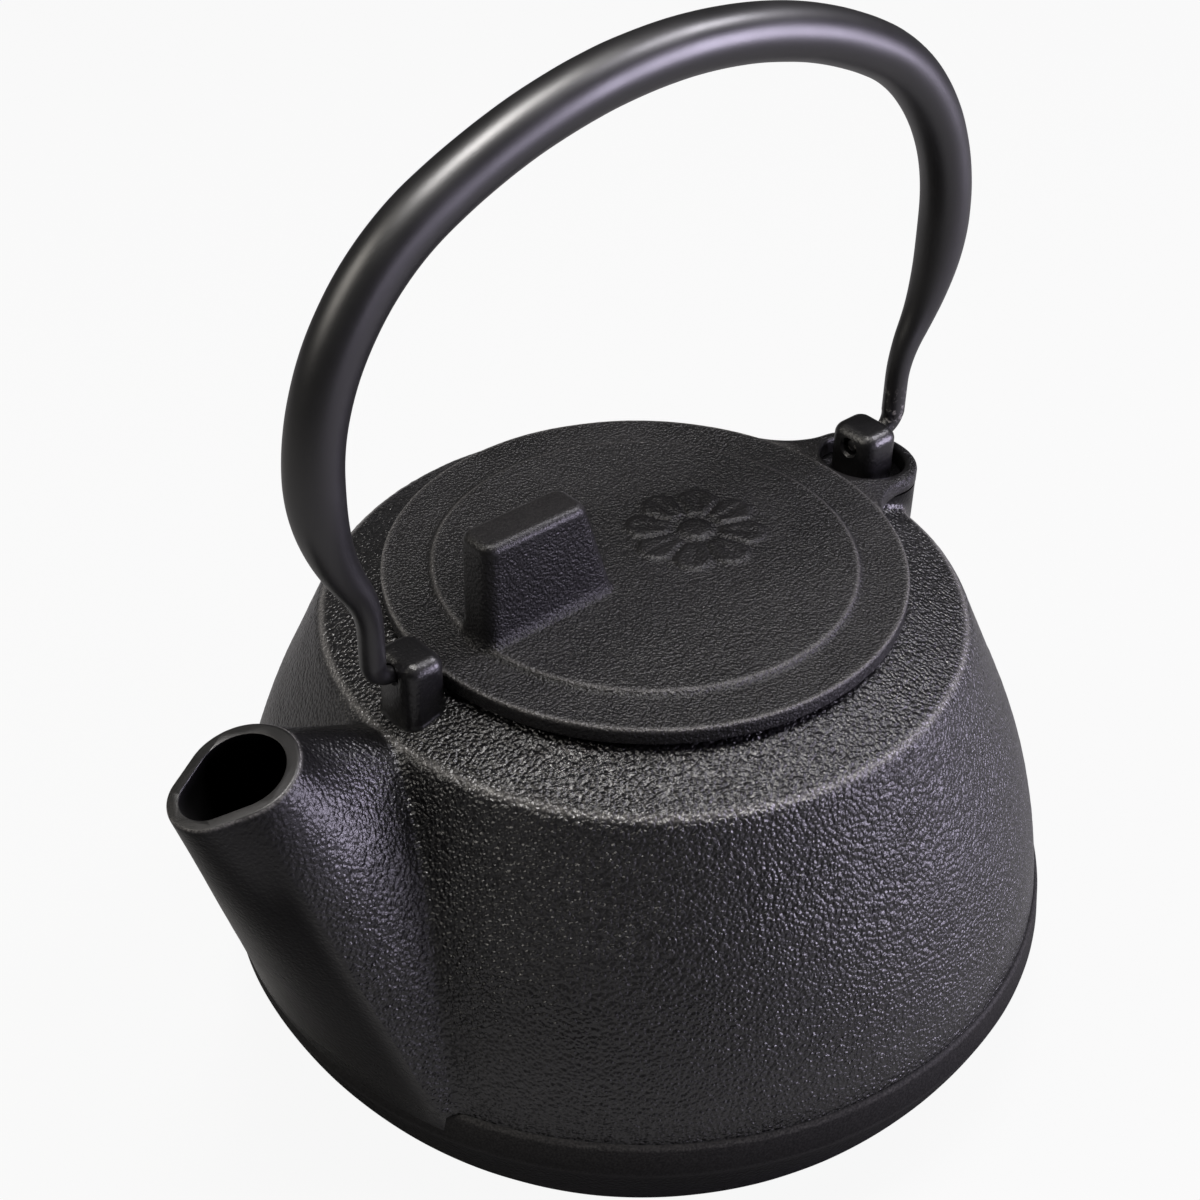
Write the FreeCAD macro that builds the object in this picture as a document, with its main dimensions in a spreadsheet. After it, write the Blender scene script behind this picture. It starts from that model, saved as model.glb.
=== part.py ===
# Cast iron teapot: pot with wedge spout and two lugs, lid with fin knob, hooked bail, infuser basket.
# Millimetres, +Z up. The origin is the centre of the flat underside. The spout points along -X.
import FreeCAD, Part
import math
import os
import re
import Sketcher

Vector = FreeCAD.Vector

# Driving dimensions: name, value in millimetres or degrees, what it is
DIMENSIONS = [
    ("basket_radius", 38.0, "outside of the basket's wall"),
    ("basket_depth", 48.0, "basket below its rim"),
    ("sheet", 0.6, "thickness of the basket's sheet steel"),
    ("rim_gap", 0.5, "basket's rim to the side of the mouth"),
    ("slot_width", 2.0, "slots in the basket's wall"),
    ("slot_length", 34.0, "length of those slots"),
    ("slot_count", 28, "slots round the wall"),
    ("drain_radius", 1.4, "holes in the basket's floor"),
    ("drain_circle", 26.0, "circle of those holes"),
    ("drain_count", 16, "holes on that circle"),
    ("pot_height", 97.3, "lid's seat above the underside"),
    ("wall", 3.6, "thickness of the casting"),
    ("floor_thickness", 4.2, "thickness of the underside"),
    ("mouth_gap", 1.0, "basket's wall to the mouth"),
    ("ledge_width", 3.6, "width of the basket's rim on its ledge"),
    ("ledge_depth", 3.2, "ledge below the seat"),
    ("ledge_thickness", 3.0, "iron under the ledge"),
    ("seat_width", 2.4, "flat seat round the mouth"),
    ("shoulder_width", 11.3, "shoulder edge beyond the lid's edge"),
    ("shoulder_drop", 5.1, "shoulder edge below the seat"),
    ("shoulder_cove", 1.6, "hollow under the shoulder edge"),
    ("belly_step", 8.7, "upper end of the bulging side beyond the shoulder edge"),
    ("belly_drop", 22.3, "that end below the seat"),
    ("belly_bulge", 14.0, "lower band beyond that end"),
    ("belly_curve", 128.0, "radius of the bulging side"),
    ("band_height", 25.5, "foot of the smooth lower band above the underside"),
    ("band_width", 6.1, "height of the smooth lower band"),
    ("band_taper", 0.7, "how much the band narrows towards its top"),
    ("lip_step", 0.8, "step from the band's top in to the rough side"),
    ("foot_inset", 15.0, "edge of the flat underside inside the lower band"),
    ("foot_curve", 60.0, "radius of the curve from the underside to the lower band"),
    ("casting_round", 0.8, "rounding of the pot's crisp edges"),
    ("spout_throw", 28.9, "centre of the spout's mouth beyond the shoulder edge"),
    ("spout_rise", 1.6, "centre of the spout's mouth above the seat"),
    ("spout_tilt", 15.0, "forward tilt of the spout's mouth, degrees"),
    ("mouth_heel", 10.2, "radius of the mouth's rear end"),
    ("mouth_lip", 7.6, "radius of the mouth's pouring end"),
    ("mouth_length", 6.5, "distance between the centres of those two ends"),
    ("spout_wall", 2.4, "wall of the spout"),
    ("root_top_radius", 12.0, "radius of the root's rounded top"),
    ("root_half_width", 38.0, "half width of the root at its foot"),
    ("root_curve", 128.0, "radius of the root's bulging sides"),
    ("root_foot_curve", 60.0, "radius of the root's bulging foot"),
    ("foot_turn", 25.0, "part of that foot, to either side, that runs into the pouring end, degrees"),
    ("heel_turn", 16.0, "part of the mouth's rear end that runs into the root's rounded top, degrees"),
    ("root_depth", 5.0, "how deep the root starts inside the shoulder edge"),
    ("root_foot_depth", 10.0, "how deep the root starts inside the lower band"),
    ("root_drop", 3.0, "top of the root below the shoulder edge"),
    ("lug_length", 8.0, "lug along the pivot line"),
    ("lug_width", 9.6, "lug across the pivot line"),
    ("lug_gap", 0.6, "front lug to the lid's edge"),
    ("lug_height", 3.0, "iron above the eye's centre"),
    ("lug_round", 1.3, "rounding of the lugs' upright edges"),
    ("lug_crown", 0.9, "rounding of the lugs' top edges"),
    ("eye_height", 2.5, "eye's centre above the lid's edge"),
    ("eye_clearance", 0.3, "eye larger than the bail's pin, on the radius"),
    ("boss_gap", 0.3, "rear lug's boss to the lobe that lies over it"),
    ("seat_gap", 0.3, "lid to its seat"),
    ("lid_overhang", 4.5, "lid's edge beyond the seat"),
    ("lid_thickness", 3.4, "lid's rim"),
    ("lid_border", 9.7, "flat rim round the raised centre"),
    ("raised_height", 0.9, "height of the raised centre"),
    ("skirt_gap", 1.6, "lid's skirt to the inside of the basket"),
    ("skirt_wall", 3.0, "wall of the skirt"),
    ("skirt_depth", 5.0, "depth of the skirt below the lid's rim"),
    ("lobe_reach", 10.0, "lobe's centre beyond the lid's edge"),
    ("lobe_radius", 11.4, "lobe's outside"),
    ("lobe_wall", 2.7, "iron round the lobe's hole"),
    ("lobe_fillet", 16.0, "hollow corner between lid and lobe"),
    ("lobe_slope", 6.0, "downward slope of the lobe, degrees"),
    ("fin_inset", 9.2, "fin's front face inside the lid's edge"),
    ("fin_top", 23.0, "length of the fin's top"),
    ("fin_slant", 6.2, "how much longer the fin is above its foot"),
    ("fin_height", 21.4, "fin above the raised centre"),
    ("fin_width", 8.6, "thickness of the fin"),
    ("fin_round", 2.2, "rounding of the fin's upright edges"),
    ("fin_crown", 1.5, "rounding of the fin's top edges"),
    ("fin_foot", 2.0, "flare at the fin's foot"),
    ("neck_straight", 9.6, "straight part of the bail's necks"),
    ("neck_curve", 11.0, "radius of the turn from neck to arm"),
    ("arm_bulge", 8.6, "arms beyond the necks"),
    ("arm_curve", 46.3, "radius of the bail's arms"),
    ("arch_curve", 106.4, "radius of the bail's top"),
    ("hook_gap", 1.9, "neck to the lug's outer face"),
    ("grip_radius", 5.0, "bail at its grip"),
    ("neck_radius", 2.2, "bail at its necks"),
    ("pin_radius", 1.5, "bail's pins in the eyes"),
    ("pin_recess", 0.8, "end of the pin inside the lug's inner face"),
    ("swell_height", 31.5, "height over which a neck swells into the grip"),
]

# Places worked out from the driving dimensions
DERIVED = [
    ("mouth_radius", "basket_radius + mouth_gap"),
    ("rim_radius", "mouth_radius + ledge_width"),
    ("ledge_radius", "rim_radius + rim_gap"),
    ("ledge_height", "pot_height - ledge_depth"),
    ("basket_foot", "ledge_height - basket_depth"),
    ("seat_radius", "ledge_radius + seat_width"),
    ("lid_radius", "seat_radius + lid_overhang"),
    ("lid_base", "pot_height + seat_gap"),
    ("lid_edge", "lid_base + lid_thickness"),
    ("lid_face", "lid_edge + raised_height"),
    ("raised_radius", "lid_radius - lid_border"),
    ("skirt_radius", "basket_radius - sheet - skirt_gap"),
    ("shoulder_radius", "lid_radius + shoulder_width"),
    ("shoulder_height", "pot_height - shoulder_drop"),
    ("belly_radius", "shoulder_radius + belly_step"),
    ("belly_height", "pot_height - belly_drop"),
    ("band_radius", "belly_radius + belly_bulge"),
    ("foot_radius", "band_radius - foot_inset"),
    ("lip_height", "band_height + band_width"),
    ("lip_radius", "band_radius - band_taper"),
    ("side_radius", "lip_radius - lip_step"),
    ("side_height", "lip_height + lip_step"),
    ("side_top", "shoulder_height - 1.5 * wall"),
    ("spout_reach", "shoulder_radius + spout_throw"),
    ("spout_height", "pot_height + spout_rise"),
    ("mouth_lean", "(mouth_heel - mouth_lip) / mouth_length"),
    ("mouth_rise", "sqrt(1 - mouth_lean^2)"),
    ("root_rise", "shoulder_height - root_drop - band_height"),
    ("root_run", "band_radius - root_foot_depth - shoulder_radius + root_depth"),
    ("root_knee", "hypot(root_rise; root_run) - root_top_radius"),
    ("root_span", "hypot(root_knee; root_half_width)"),
    ("root_swing", "root_curve - root_top_radius"),
    ("root_bend", "acos((root_swing^2 + root_span^2 - root_curve^2) / (2 * root_swing * root_span))"),
    ("crown_turn", "root_bend - atan2(root_half_width; root_knee)"),
    ("front_lug_place", "lid_radius + lug_gap + lug_length / 2"),
    ("rear_lug_place", "lid_radius + lobe_reach"),
    ("eye_level", "lid_edge + eye_height"),
    ("eye_radius", "pin_radius + eye_clearance"),
    ("lug_top", "eye_level + lug_height"),
    ("fillet_reach", "lid_radius + lobe_fillet"),
    ("lobe_grip", "lobe_radius + lobe_fillet"),
    ("fillet_x", "(fillet_reach^2 - lobe_grip^2 + rear_lug_place^2) / (2 * rear_lug_place)"),
    ("fillet_y", "sqrt(fillet_reach^2 - fillet_x^2)"),
    ("lobe_start", "fillet_x * lid_radius / fillet_reach"),
    ("lobe_half_root", "fillet_y * lid_radius / fillet_reach"),
    ("lobe_drop", "tan(lobe_slope * 1 deg)"),
    ("lobe_end", "rear_lug_place + lobe_radius"),
    ("fin_front", "lid_radius - fin_inset"),
    ("bail_middle", "(rear_lug_place - front_lug_place) / 2"),
    ("lug_face", "(rear_lug_place + front_lug_place + lug_length) / 2"),
    ("hook_curve", "hook_gap + neck_radius"),
    ("neck_place", "lug_face + hook_curve"),
    ("pin_length", "lug_length - pin_recess"),
]


def make_sheet(document):
    """Spreadsheet of the driving dimensions and of the places that follow from them."""
    sheet = document.addObject("Spreadsheet::Sheet", "Dims")
    rows = [(name, str(value), note) for name, value, note in DIMENSIONS]
    rows += [(name, "=" + rule, "worked out") for name, rule in DERIVED]
    for row, (name, content, note) in enumerate(rows, start=1):
        sheet.set("A%d" % row, name)
        sheet.set("B%d" % row, content)
        sheet.set("C%d" % row, note)
        sheet.setAlias("B%d" % row, name)
    document.recompute()
    return sheet


doc = FreeCAD.newDocument("Teapot")
dims = make_sheet(doc)


def rule(text):
    """Expression text with each name of the sheet written as a reference to its cell."""
    names = {name for name, *_ in DIMENSIONS} | {name for name, _ in DERIVED}
    return re.sub("[a-z_]+", lambda word: "Dims." + word[0] if word[0] in names else word[0], text)


def size(text):
    """Value of an expression over the sheet's names."""
    value = dims.evalExpression(rule(text))
    return getattr(value, "Value", value)


def new_body(name):
    return doc.addObject("PartDesign::Body", name)


def new_sketch(body, name, role, shift=None, turn=None):
    """Sketch on one of the body's origin planes, shifted and turned about Y by expressions."""
    sketch = body.newObject("Sketcher::SketchObject", name)
    plane = next(item for item in body.Origin.OriginFeatures if item.Role == role)
    sketch.AttachmentSupport = [(plane, "")]
    sketch.MapMode = "FlatFace"
    if turn:
        sketch.AttachmentOffset = FreeCAD.Placement(Vector(), FreeCAD.Rotation(Vector(0, 1, 0), 1))
        sketch.setExpression("AttachmentOffset.Rotation.Angle", rule(turn))
    for axis, text in (shift or {}).items():
        sketch.setExpression("AttachmentOffset.Base." + axis, rule(text))
    return sketch


def bind(sketch, kind, first, second, text):
    """Dimension of a sketch, bound to an expression."""
    index = sketch.addConstraint(Sketcher.Constraint(kind, *first, *second, size(text)))
    sketch.setExpression("Constraints[%d]" % index, rule(text))


def place_point(sketch, geometry, end, across, up):
    bind(sketch, "DistanceX", (-1, 1), (geometry, end), across)
    bind(sketch, "DistanceY", (-1, 1), (geometry, end), up)


def draw_outline(sketch, corners):
    """Closed outline through corners (across, up) or (across, up, radius, side).

    A radius makes the edge that leaves the corner an arc, which bulges to the left of its way
    where side is 1 and to the right where it is -1.
    """
    points = [Vector(size(corner[0]), size(corner[1]), 0) for corner in corners]
    ends = []
    for number, corner in enumerate(corners):
        start = points[number]
        finish = points[(number + 1) % len(points)]
        if len(corner) == 2:
            edge = sketch.addGeometry(Part.LineSegment(start, finish))
            ends.append((edge, 1, 2))
            continue
        radius, side = size(corner[2]), corner[3]
        chord = finish - start
        left = Vector(-chord.y, chord.x, 0).normalize()
        centre = (start + finish) * 0.5 - left * side * math.sqrt(radius ** 2 - chord.Length ** 2 / 4)
        first, last = (finish, start) if side > 0 else (start, finish)
        angles = [math.atan2(point.y - centre.y, point.x - centre.x) for point in (first, last)]
        edge = sketch.addGeometry(Part.ArcOfCircle(Part.Circle(centre, Vector(0, 0, 1), radius), *angles))
        bind(sketch, "Radius", (edge,), (), corner[2])
        ends.append((edge, 2, 1) if side > 0 else (edge, 1, 2))
    for number, (edge, start, finish) in enumerate(ends):
        following, follow_start, _ = ends[(number + 1) % len(ends)]
        sketch.addConstraint(Sketcher.Constraint("Coincident", edge, finish, following, follow_start))
        place_point(sketch, edge, start, *corners[number][:2])


def draw_circle(sketch, across, up, radius):
    centre = Vector(size(across), size(up), 0)
    edge = sketch.addGeometry(Part.Circle(centre, Vector(0, 0, 1), size(radius)))
    place_point(sketch, edge, 3, across, up)
    bind(sketch, "Radius", (edge,), (), radius)


def revolve(body, name, corners, kind="PartDesign::Revolution"):
    """Full turn about Z of an outline in the XZ plane, given as radius and height."""
    sketch = new_sketch(body, name + "_outline", "XZ_Plane")
    draw_outline(sketch, corners)
    feature = body.newObject(kind, name)
    feature.Profile = sketch
    feature.ReferenceAxis = (sketch, ["V_Axis"])
    feature.Angle = 360.0
    body.Tip = feature
    return feature


def pad(body, name, sketch, length, both_ways=False, downwards=False):
    feature = body.newObject("PartDesign::Pad", name)
    feature.Profile = sketch
    feature.Midplane = both_ways
    feature.Reversed = downwards
    feature.setExpression("Length", rule(length))
    body.Tip = feature
    return feature


def cut_through(body, name, sketch):
    """Pocket through everything, both ways from the sketch."""
    feature = body.newObject("PartDesign::Pocket", name)
    feature.Profile = sketch
    feature.Type = "ThroughAll"
    feature.Midplane = True
    body.Tip = feature
    return feature


def round_edges(body, name, base, radius, wanted):
    """Fillet of those edges of the base feature whose middle point the test accepts."""
    doc.recompute()
    names = []
    for number, edge in enumerate(base.Shape.Edges, start=1):
        middle = edge.valueAt((edge.FirstParameter + edge.LastParameter) / 2)
        if wanted(edge, middle):
            names.append("Edge%d" % number)
    feature = body.newObject("PartDesign::Fillet", name)
    feature.Base = (base, names)
    feature.setExpression("Radius", rule(radius))
    body.Tip = feature
    return feature


def combine(kind, name, base, tool):
    """Boolean of two objects, such as Part::Cut."""
    result = doc.addObject(kind, name)
    result.Base = base
    result.Tool = tool
    return result


def rounded_box(sketch, left, right, half, radius):
    """Box with rounded corners from left to right, as wide as half to either side."""
    lower, upper = "-%s + %s" % (half, radius), "%s - %s" % (half, radius)
    inner_left, inner_right = "%s + %s" % (left, radius), "%s - %s" % (right, radius)
    draw_outline(sketch, [
        (inner_left, "-" + half),
        (inner_right, "-" + half, radius, -1),
        (right, lower),
        (right, upper, radius, -1),
        (inner_right, half),
        (inner_left, half, radius, -1),
        (left, upper),
        (left, lower, radius, -1),
    ])


def near(value, text, slack=0.05):
    return abs(value - size(text)) < slack


def radius_of(point):
    return math.hypot(point.x, point.y)


# Pot casting: the outside as one solid of revolution
def make_pot_outside():
    body = new_body("pot_outside")
    turned = revolve(body, "pot_turned", [
        ("0", "0"),
        ("foot_radius", "0", "foot_curve", -1),
        ("band_radius", "band_height"),
        ("lip_radius", "lip_height"),
        ("side_radius", "side_height", "belly_curve", -1),
        ("belly_radius", "belly_height"),
        ("shoulder_radius + shoulder_cove", "shoulder_height - shoulder_cove"),
        ("shoulder_radius", "shoulder_height"),
        ("seat_radius", "pot_height"),
        ("0", "pot_height"),
    ])
    crisp = ("shoulder_radius", "lip_radius")
    round_edges(body, "pot_edges", turned, "casting_round", lambda edge, middle: (
        edge.Closed and any(near(radius_of(middle), radius) for radius in crisp)))
    return body


# Hollow of the pot with the mouth and the ledge for the basket
def make_pot_hollow():
    body = new_body("pot_hollow")
    revolve(body, "hollow_turned", [
        ("0", "floor_thickness"),
        ("foot_radius - wall", "floor_thickness", "foot_curve", -1),
        ("band_radius - wall", "band_height + wall / 2"),
        ("side_radius - wall", "side_height", "belly_curve", -1),
        ("belly_radius - wall", "belly_height - wall / 2"),
        ("shoulder_radius - wall / 2", "side_top"),
        ("mouth_radius", "ledge_height - ledge_thickness"),
        ("mouth_radius", "ledge_height"),
        ("ledge_radius", "ledge_height"),
        ("ledge_radius", "pot_height + wall"),
        ("0", "pot_height + wall"),
    ])
    return body


# Spout: straight loft from the egg-shaped mouth to a bell-shaped root inside the pot
def spout_mouth(body, name, inset):
    """Egg of two tangent circles, in the plane of the spout's mouth, smaller by the inset."""
    sketch = new_sketch(body, name, "XY_Plane", {"x": "-spout_reach", "z": "spout_height"}, "-spout_tilt")
    heel = "(mouth_heel - %s)" % inset
    lip = "(mouth_lip - %s)" % inset
    heel_across, heel_up = "-%s * mouth_lean" % heel, "%s * mouth_rise" % heel
    lip_across, lip_up = "-mouth_length - %s * mouth_lean" % lip, "%s * mouth_rise" % lip
    turn_across, turn_up = "%s * cos(heel_turn)" % heel, "%s * sin(heel_turn)" % heel
    draw_outline(sketch, [
        (heel, "0", heel, -1),
        (turn_across, turn_up, heel, -1),
        (heel_across, heel_up),
        (lip_across, lip_up, lip, -1),
        (lip_across, "-" + lip_up),
        (heel_across, "-" + heel_up, heel, -1),
        (turn_across, "-" + turn_up, heel, -1),
    ])
    return sketch


def spout_root(body, name, inset, sink):
    """Bell in a leaning plane from under the shoulder to behind the lower band, its foot bulging down."""
    top = ("(shoulder_radius - root_depth - %s)" % sink, "(shoulder_height - root_drop - %s)" % sink)
    foot = ("(band_radius - root_foot_depth - %s)" % sink, "(band_height + %s)" % inset)
    rise, run = "(%s - %s)" % (top[1], foot[1]), "(%s - %s)" % (foot[0], top[0])
    lean = "-atan2(%s; %s)" % (rise, run)
    sketch = new_sketch(body, name, "XY_Plane", {"x": "-" + foot[0], "z": foot[1]}, lean)
    crown = "(root_top_radius - %s)" % inset
    half = "(root_half_width - %s)" % inset
    top_end = "hypot(%s; %s)" % (rise, run)
    knee = "(%s - %s)" % (top_end, crown)
    turn_across, turn_up = "%s + %s * cos(crown_turn)" % (knee, crown), "%s * sin(crown_turn)" % crown
    bulge = "(root_foot_curve - %s)" % inset
    foot_across = "sqrt(%s^2 - %s^2) - %s * cos(foot_turn)" % (bulge, half, bulge)
    foot_up = "%s * sin(foot_turn)" % bulge
    draw_outline(sketch, [
        (top_end, "0", crown, -1),
        (turn_across, turn_up, "root_curve", -1),
        ("0", half, bulge, -1),
        (foot_across, foot_up, bulge, -1),
        (foot_across, "-" + foot_up, bulge, -1),
        ("0", "-" + half, "root_curve", -1),
        (turn_across, "-" + turn_up, crown, -1),
    ])
    return sketch


def make_spout_loft(name, inset, sink):
    body = new_body(name)
    loft = body.newObject("PartDesign::AdditiveLoft", name + "_loft")
    loft.Profile = spout_mouth(body, name + "_mouth", inset)
    loft.Sections = [spout_root(body, name + "_root", inset, sink)]
    loft.Ruled = True
    body.Tip = loft
    return body


# Lugs: square posts with an eye along the pivot line
def add_post(body, name, place):
    """Rounded post from inside the shoulder up to the lugs' top, with its eye."""
    plan = new_sketch(body, name + "_plan", "XY_Plane", {"z": "shoulder_height"})
    ends = [place + " - lug_length / 2", place + " + lug_length / 2"]
    rounded_box(plan, *ends, "lug_width / 2", "lug_round")
    post = pad(body, name + "_post", plan, "lug_top - shoulder_height")
    round_edges(body, name + "_crown", post, "lug_crown", lambda edge, middle: near(middle.z, "lug_top"))
    eye = new_sketch(body, name + "_eye_plan", "YZ_Plane")
    draw_circle(eye, "0", "eye_level", "eye_radius")
    cut_through(body, name + "_eye", eye)


def make_front_lug():
    body = new_body("front_lug_solid")
    add_post(body, "front", "-front_lug_place")
    return body


def on_lobe(body, name, lower="0"):
    """Sketch in the sloping plane of the lobe's underside, or below it."""
    return new_sketch(body, name, "XY_Plane", {"x": "lobe_start", "z": "lid_base - " + lower}, "lobe_slope")


def make_rear_lug():
    body = new_body("rear_lug_solid")
    boss = on_lobe(body, "boss_plan", "boss_gap")
    draw_circle(boss, "rear_lug_place - lobe_start", "0", "lobe_radius")
    pad(body, "boss", boss, "belly_drop + wall", downwards=True)
    add_post(body, "rear", "rear_lug_place")
    return body


# Lid: turned disc with raised centre and skirt, sloping rear lobe, fin knob
def add_lobe(body):
    slope = new_sketch(body, "slope_outline", "XZ_Plane")
    draw_outline(slope, [
        ("lobe_start", "lid_edge"),
        ("lobe_end", "lid_edge - (lobe_end - lobe_start) * lobe_drop"),
        ("lobe_end", "lid_edge + lid_thickness"),
        ("lobe_start", "lid_edge + lid_thickness"),
    ])
    cut_through(body, "slope_cut", slope)
    plan = on_lobe(body, "lobe_plan")
    centre = "(rear_lug_place - lobe_start)"
    join = "(%s + (fillet_x - rear_lug_place) * lobe_radius / lobe_grip)" % centre
    join_half = "(fillet_y * lobe_radius / lobe_grip)"
    draw_outline(plan, [
        ("0", "lobe_half_root", "lobe_fillet", -1),
        (join, join_half, "lobe_radius", 1),
        (centre + " + lobe_radius", "0", "lobe_radius", 1),
        (join, "-" + join_half, "lobe_fillet", -1),
        ("0", "-lobe_half_root"),
    ])
    pad(body, "lobe", plan, "lid_thickness")
    bore = on_lobe(body, "lobe_bore_plan")
    draw_circle(bore, centre, "0", "lobe_radius - lobe_wall")
    cut_through(body, "lobe_bore", bore)


def add_fin(body):
    """Fin that flares at its foot, straight in front and slanted behind."""
    sections = []
    long_side, flare = "(fin_top + fin_slant)", "(fin_foot + 2 * raised_height)"
    for name, height, grow, length in (
            ("flare", "lid_edge - raised_height", flare, long_side),
            ("waist", "lid_face + fin_foot", "0", long_side),
            ("top", "lid_face + fin_height", "0", "fin_top")):
        section = new_sketch(body, "fin_" + name, "XY_Plane", {"z": height})
        rounded_box(section, "(-fin_front - %s)" % grow, "(%s - fin_front + %s)" % (length, grow),
                    "(fin_width / 2 + %s)" % grow, "(fin_round + %s)" % grow)
        sections.append(section)
    fin = body.newObject("PartDesign::AdditiveLoft", "fin")
    fin.Profile = sections[0]
    fin.Sections = sections[1:]
    fin.Ruled = True
    body.Tip = fin
    top = "lid_face + fin_height"
    round_edges(body, "fin_rounding", fin, "fin_crown", lambda edge, middle: near(middle.z, top))


def make_lid():
    body = new_body("lid_solid")
    revolve(body, "lid_disc", [
        ("0", "lid_base"),
        ("skirt_radius - skirt_wall", "lid_base"),
        ("skirt_radius - skirt_wall", "lid_base - skirt_depth"),
        ("skirt_radius", "lid_base - skirt_depth"),
        ("skirt_radius", "lid_base"),
        ("lid_radius", "lid_base"),
        ("lid_radius", "lid_edge"),
        ("raised_radius", "lid_edge"),
        ("raised_radius - raised_height", "lid_face"),
        ("0", "lid_face"),
    ])
    add_lobe(body)
    add_fin(body)
    return body


# Bail: pins in the eyes, hooks, slim necks and arms that swell into the grip over the top
HOOK_STEPS, NECK_STEPS, ARM_STEPS, ARCH_STEPS = 3, 3, 8, 3


def arc_stations(centre, radius, start, finish, steps):
    """Points of an arc and the heading of its way there, in the order from start to finish."""
    way = math.copysign(math.pi / 2, finish - start)
    for step in range(steps + 1):
        angle = start + (finish - start) * step / steps
        yield centre[0] + radius * math.cos(angle), centre[1] + radius * math.sin(angle), angle + way


def bail_half():
    """Middle line of the bail's rear half from its pin to its top: across, height and heading.

    Across is measured from the bail's middle, the height from the eyes, and the heading is the
    angle of the line from the horizontal.
    """
    hook, neck = size("hook_curve"), size("neck_curve")
    arm, arch = size("arm_curve"), size("arch_curve")
    place = size("neck_place")
    neck_top = hook + size("neck_straight")
    neck_turn = math.acos(1 - size("arm_bulge") / (arm + neck))
    arm_across = place + size("arm_bulge") - arm
    arm_height = neck_top + (arm + neck) * math.sin(neck_turn)
    arch_turn = math.asin(arm_across / (arch - arm))
    arch_height = arm_height - (arch - arm) * math.cos(arch_turn)
    quarter = math.pi / 2
    line = list(arc_stations((place - hook, hook), hook, -quarter, 0, HOOK_STEPS))
    line += arc_stations((place + neck, neck_top), neck, math.pi, math.pi - neck_turn, NECK_STEPS)
    meet = quarter - arch_turn
    line += list(arc_stations((arm_across, arm_height), arm, -neck_turn, meet, ARM_STEPS))[1:]
    line += list(arc_stations((0, arch_height), arch, meet, quarter, ARCH_STEPS))[1:]
    return line


def bail_radius(number, height):
    """Expression for the tube's radius: pin to neck round the hook, then neck to grip."""
    if number < HOOK_STEPS:
        return "(pin_radius + (neck_radius - pin_radius) * %.4f)" % (number / HOOK_STEPS)
    share = (height - size("hook_curve + neck_straight")) / size("swell_height")
    share = min(max(share, 0), 1)
    return "(neck_radius + (grip_radius - neck_radius) * %.4f)" % (share * share * (3 - 2 * share))


def draw_section(sketch, up, radius):
    """Circle in four arcs about a point straight above the sketch's origin."""
    draw_outline(sketch, [
        (radius, up, radius, -1),
        ("0", "%s + %s" % (up, radius), radius, -1),
        ("-" + radius, up, radius, -1),
        ("0", "%s - %s" % (up, radius), radius, -1),
    ])


def make_bail():
    body = new_body("bail_solid")
    half = [(*station, bail_radius(number, station[1])) for number, station in enumerate(bail_half())]
    mirrored = [(-across, height, -heading, radius) for across, height, heading, radius in half[-2::-1]]
    sections = []
    for number, (across, height, heading, radius) in enumerate(half + mirrored):
        shift = {"x": "bail_middle %+.4f" % across, "z": "eye_level %+.4f" % height}
        turn = "%.4f" % (90 - math.degrees(heading))
        section = new_sketch(body, "bail_section_%02d" % number, "XY_Plane", shift, turn)
        draw_section(section, "0", radius)
        sections.append(section)
    tube = body.newObject("PartDesign::AdditiveLoft", "bail_tube")
    tube.Profile = sections[0]
    tube.Sections = sections[1:]
    body.Tip = tube
    for name, side in (("rear_pin", "+"), ("front_pin", "-")):
        plan = new_sketch(body, name + "_plan", "YZ_Plane", {"z": "bail_middle %s lug_face" % side})
        draw_section(plan, "eye_level", "pin_radius")
        pad(body, name, plan, "pin_length", downwards=(side == "+"))
    return body


# Infuser basket: flat rim on the ledge, slotted wall and drilled floor
def make_basket():
    rim = new_body("infuser_rim")
    revolve(rim, "rim_ring", [
        ("basket_radius - sheet", "ledge_height"),
        ("rim_radius", "ledge_height"),
        ("rim_radius", "ledge_height + sheet"),
        ("basket_radius - sheet", "ledge_height + sheet"),
    ])
    wall = new_body("infuser_wall")
    revolve(wall, "wall_tube", [
        ("basket_radius - sheet", "basket_foot"),
        ("basket_radius", "basket_foot"),
        ("basket_radius", "ledge_height"),
        ("basket_radius - sheet", "ledge_height"),
    ])
    slot = new_sketch(wall, "slot_outline", "XZ_Plane")
    middle = "(ledge_height - basket_depth / 2)"
    draw_outline(slot, [
        ("-slot_width / 2", middle + " - slot_length / 2"),
        ("slot_width / 2", middle + " - slot_length / 2"),
        ("slot_width / 2", middle + " + slot_length / 2"),
        ("-slot_width / 2", middle + " + slot_length / 2"),
    ])
    cut = wall.newObject("PartDesign::Pocket", "slot_cut")
    cut.Profile = slot
    cut.setExpression("Length", rule("basket_radius + sheet"))
    repeat_round(wall, "slots", cut, "slot_count")
    floor = new_body("infuser_floor")
    plan = new_sketch(floor, "floor_plan", "XY_Plane", {"z": "basket_foot"})
    draw_circle(plan, "0", "0", "basket_radius")
    pad(floor, "floor_disc", plan, "sheet", downwards=True)
    drain = new_sketch(floor, "drain_plan", "XY_Plane", {"z": "basket_foot"})
    draw_circle(drain, "drain_circle", "0", "drain_radius")
    hole = cut_through(floor, "drain_cut", drain)
    repeat_round(floor, "drains", hole, "drain_count")
    return [rim, wall, floor]


def repeat_round(body, name, feature, count):
    """Copies of a feature evenly round the Z axis."""
    pattern = body.newObject("PartDesign::PolarPattern", name)
    pattern.Originals = [feature]
    axis = next(item for item in body.Origin.OriginFeatures if item.Role == "Z_Axis")
    pattern.Axis = (axis, [""])
    pattern.Angle = 360.0
    pattern.setExpression("Occurrences", rule(count))
    body.Tip = pattern
    return pattern


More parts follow.
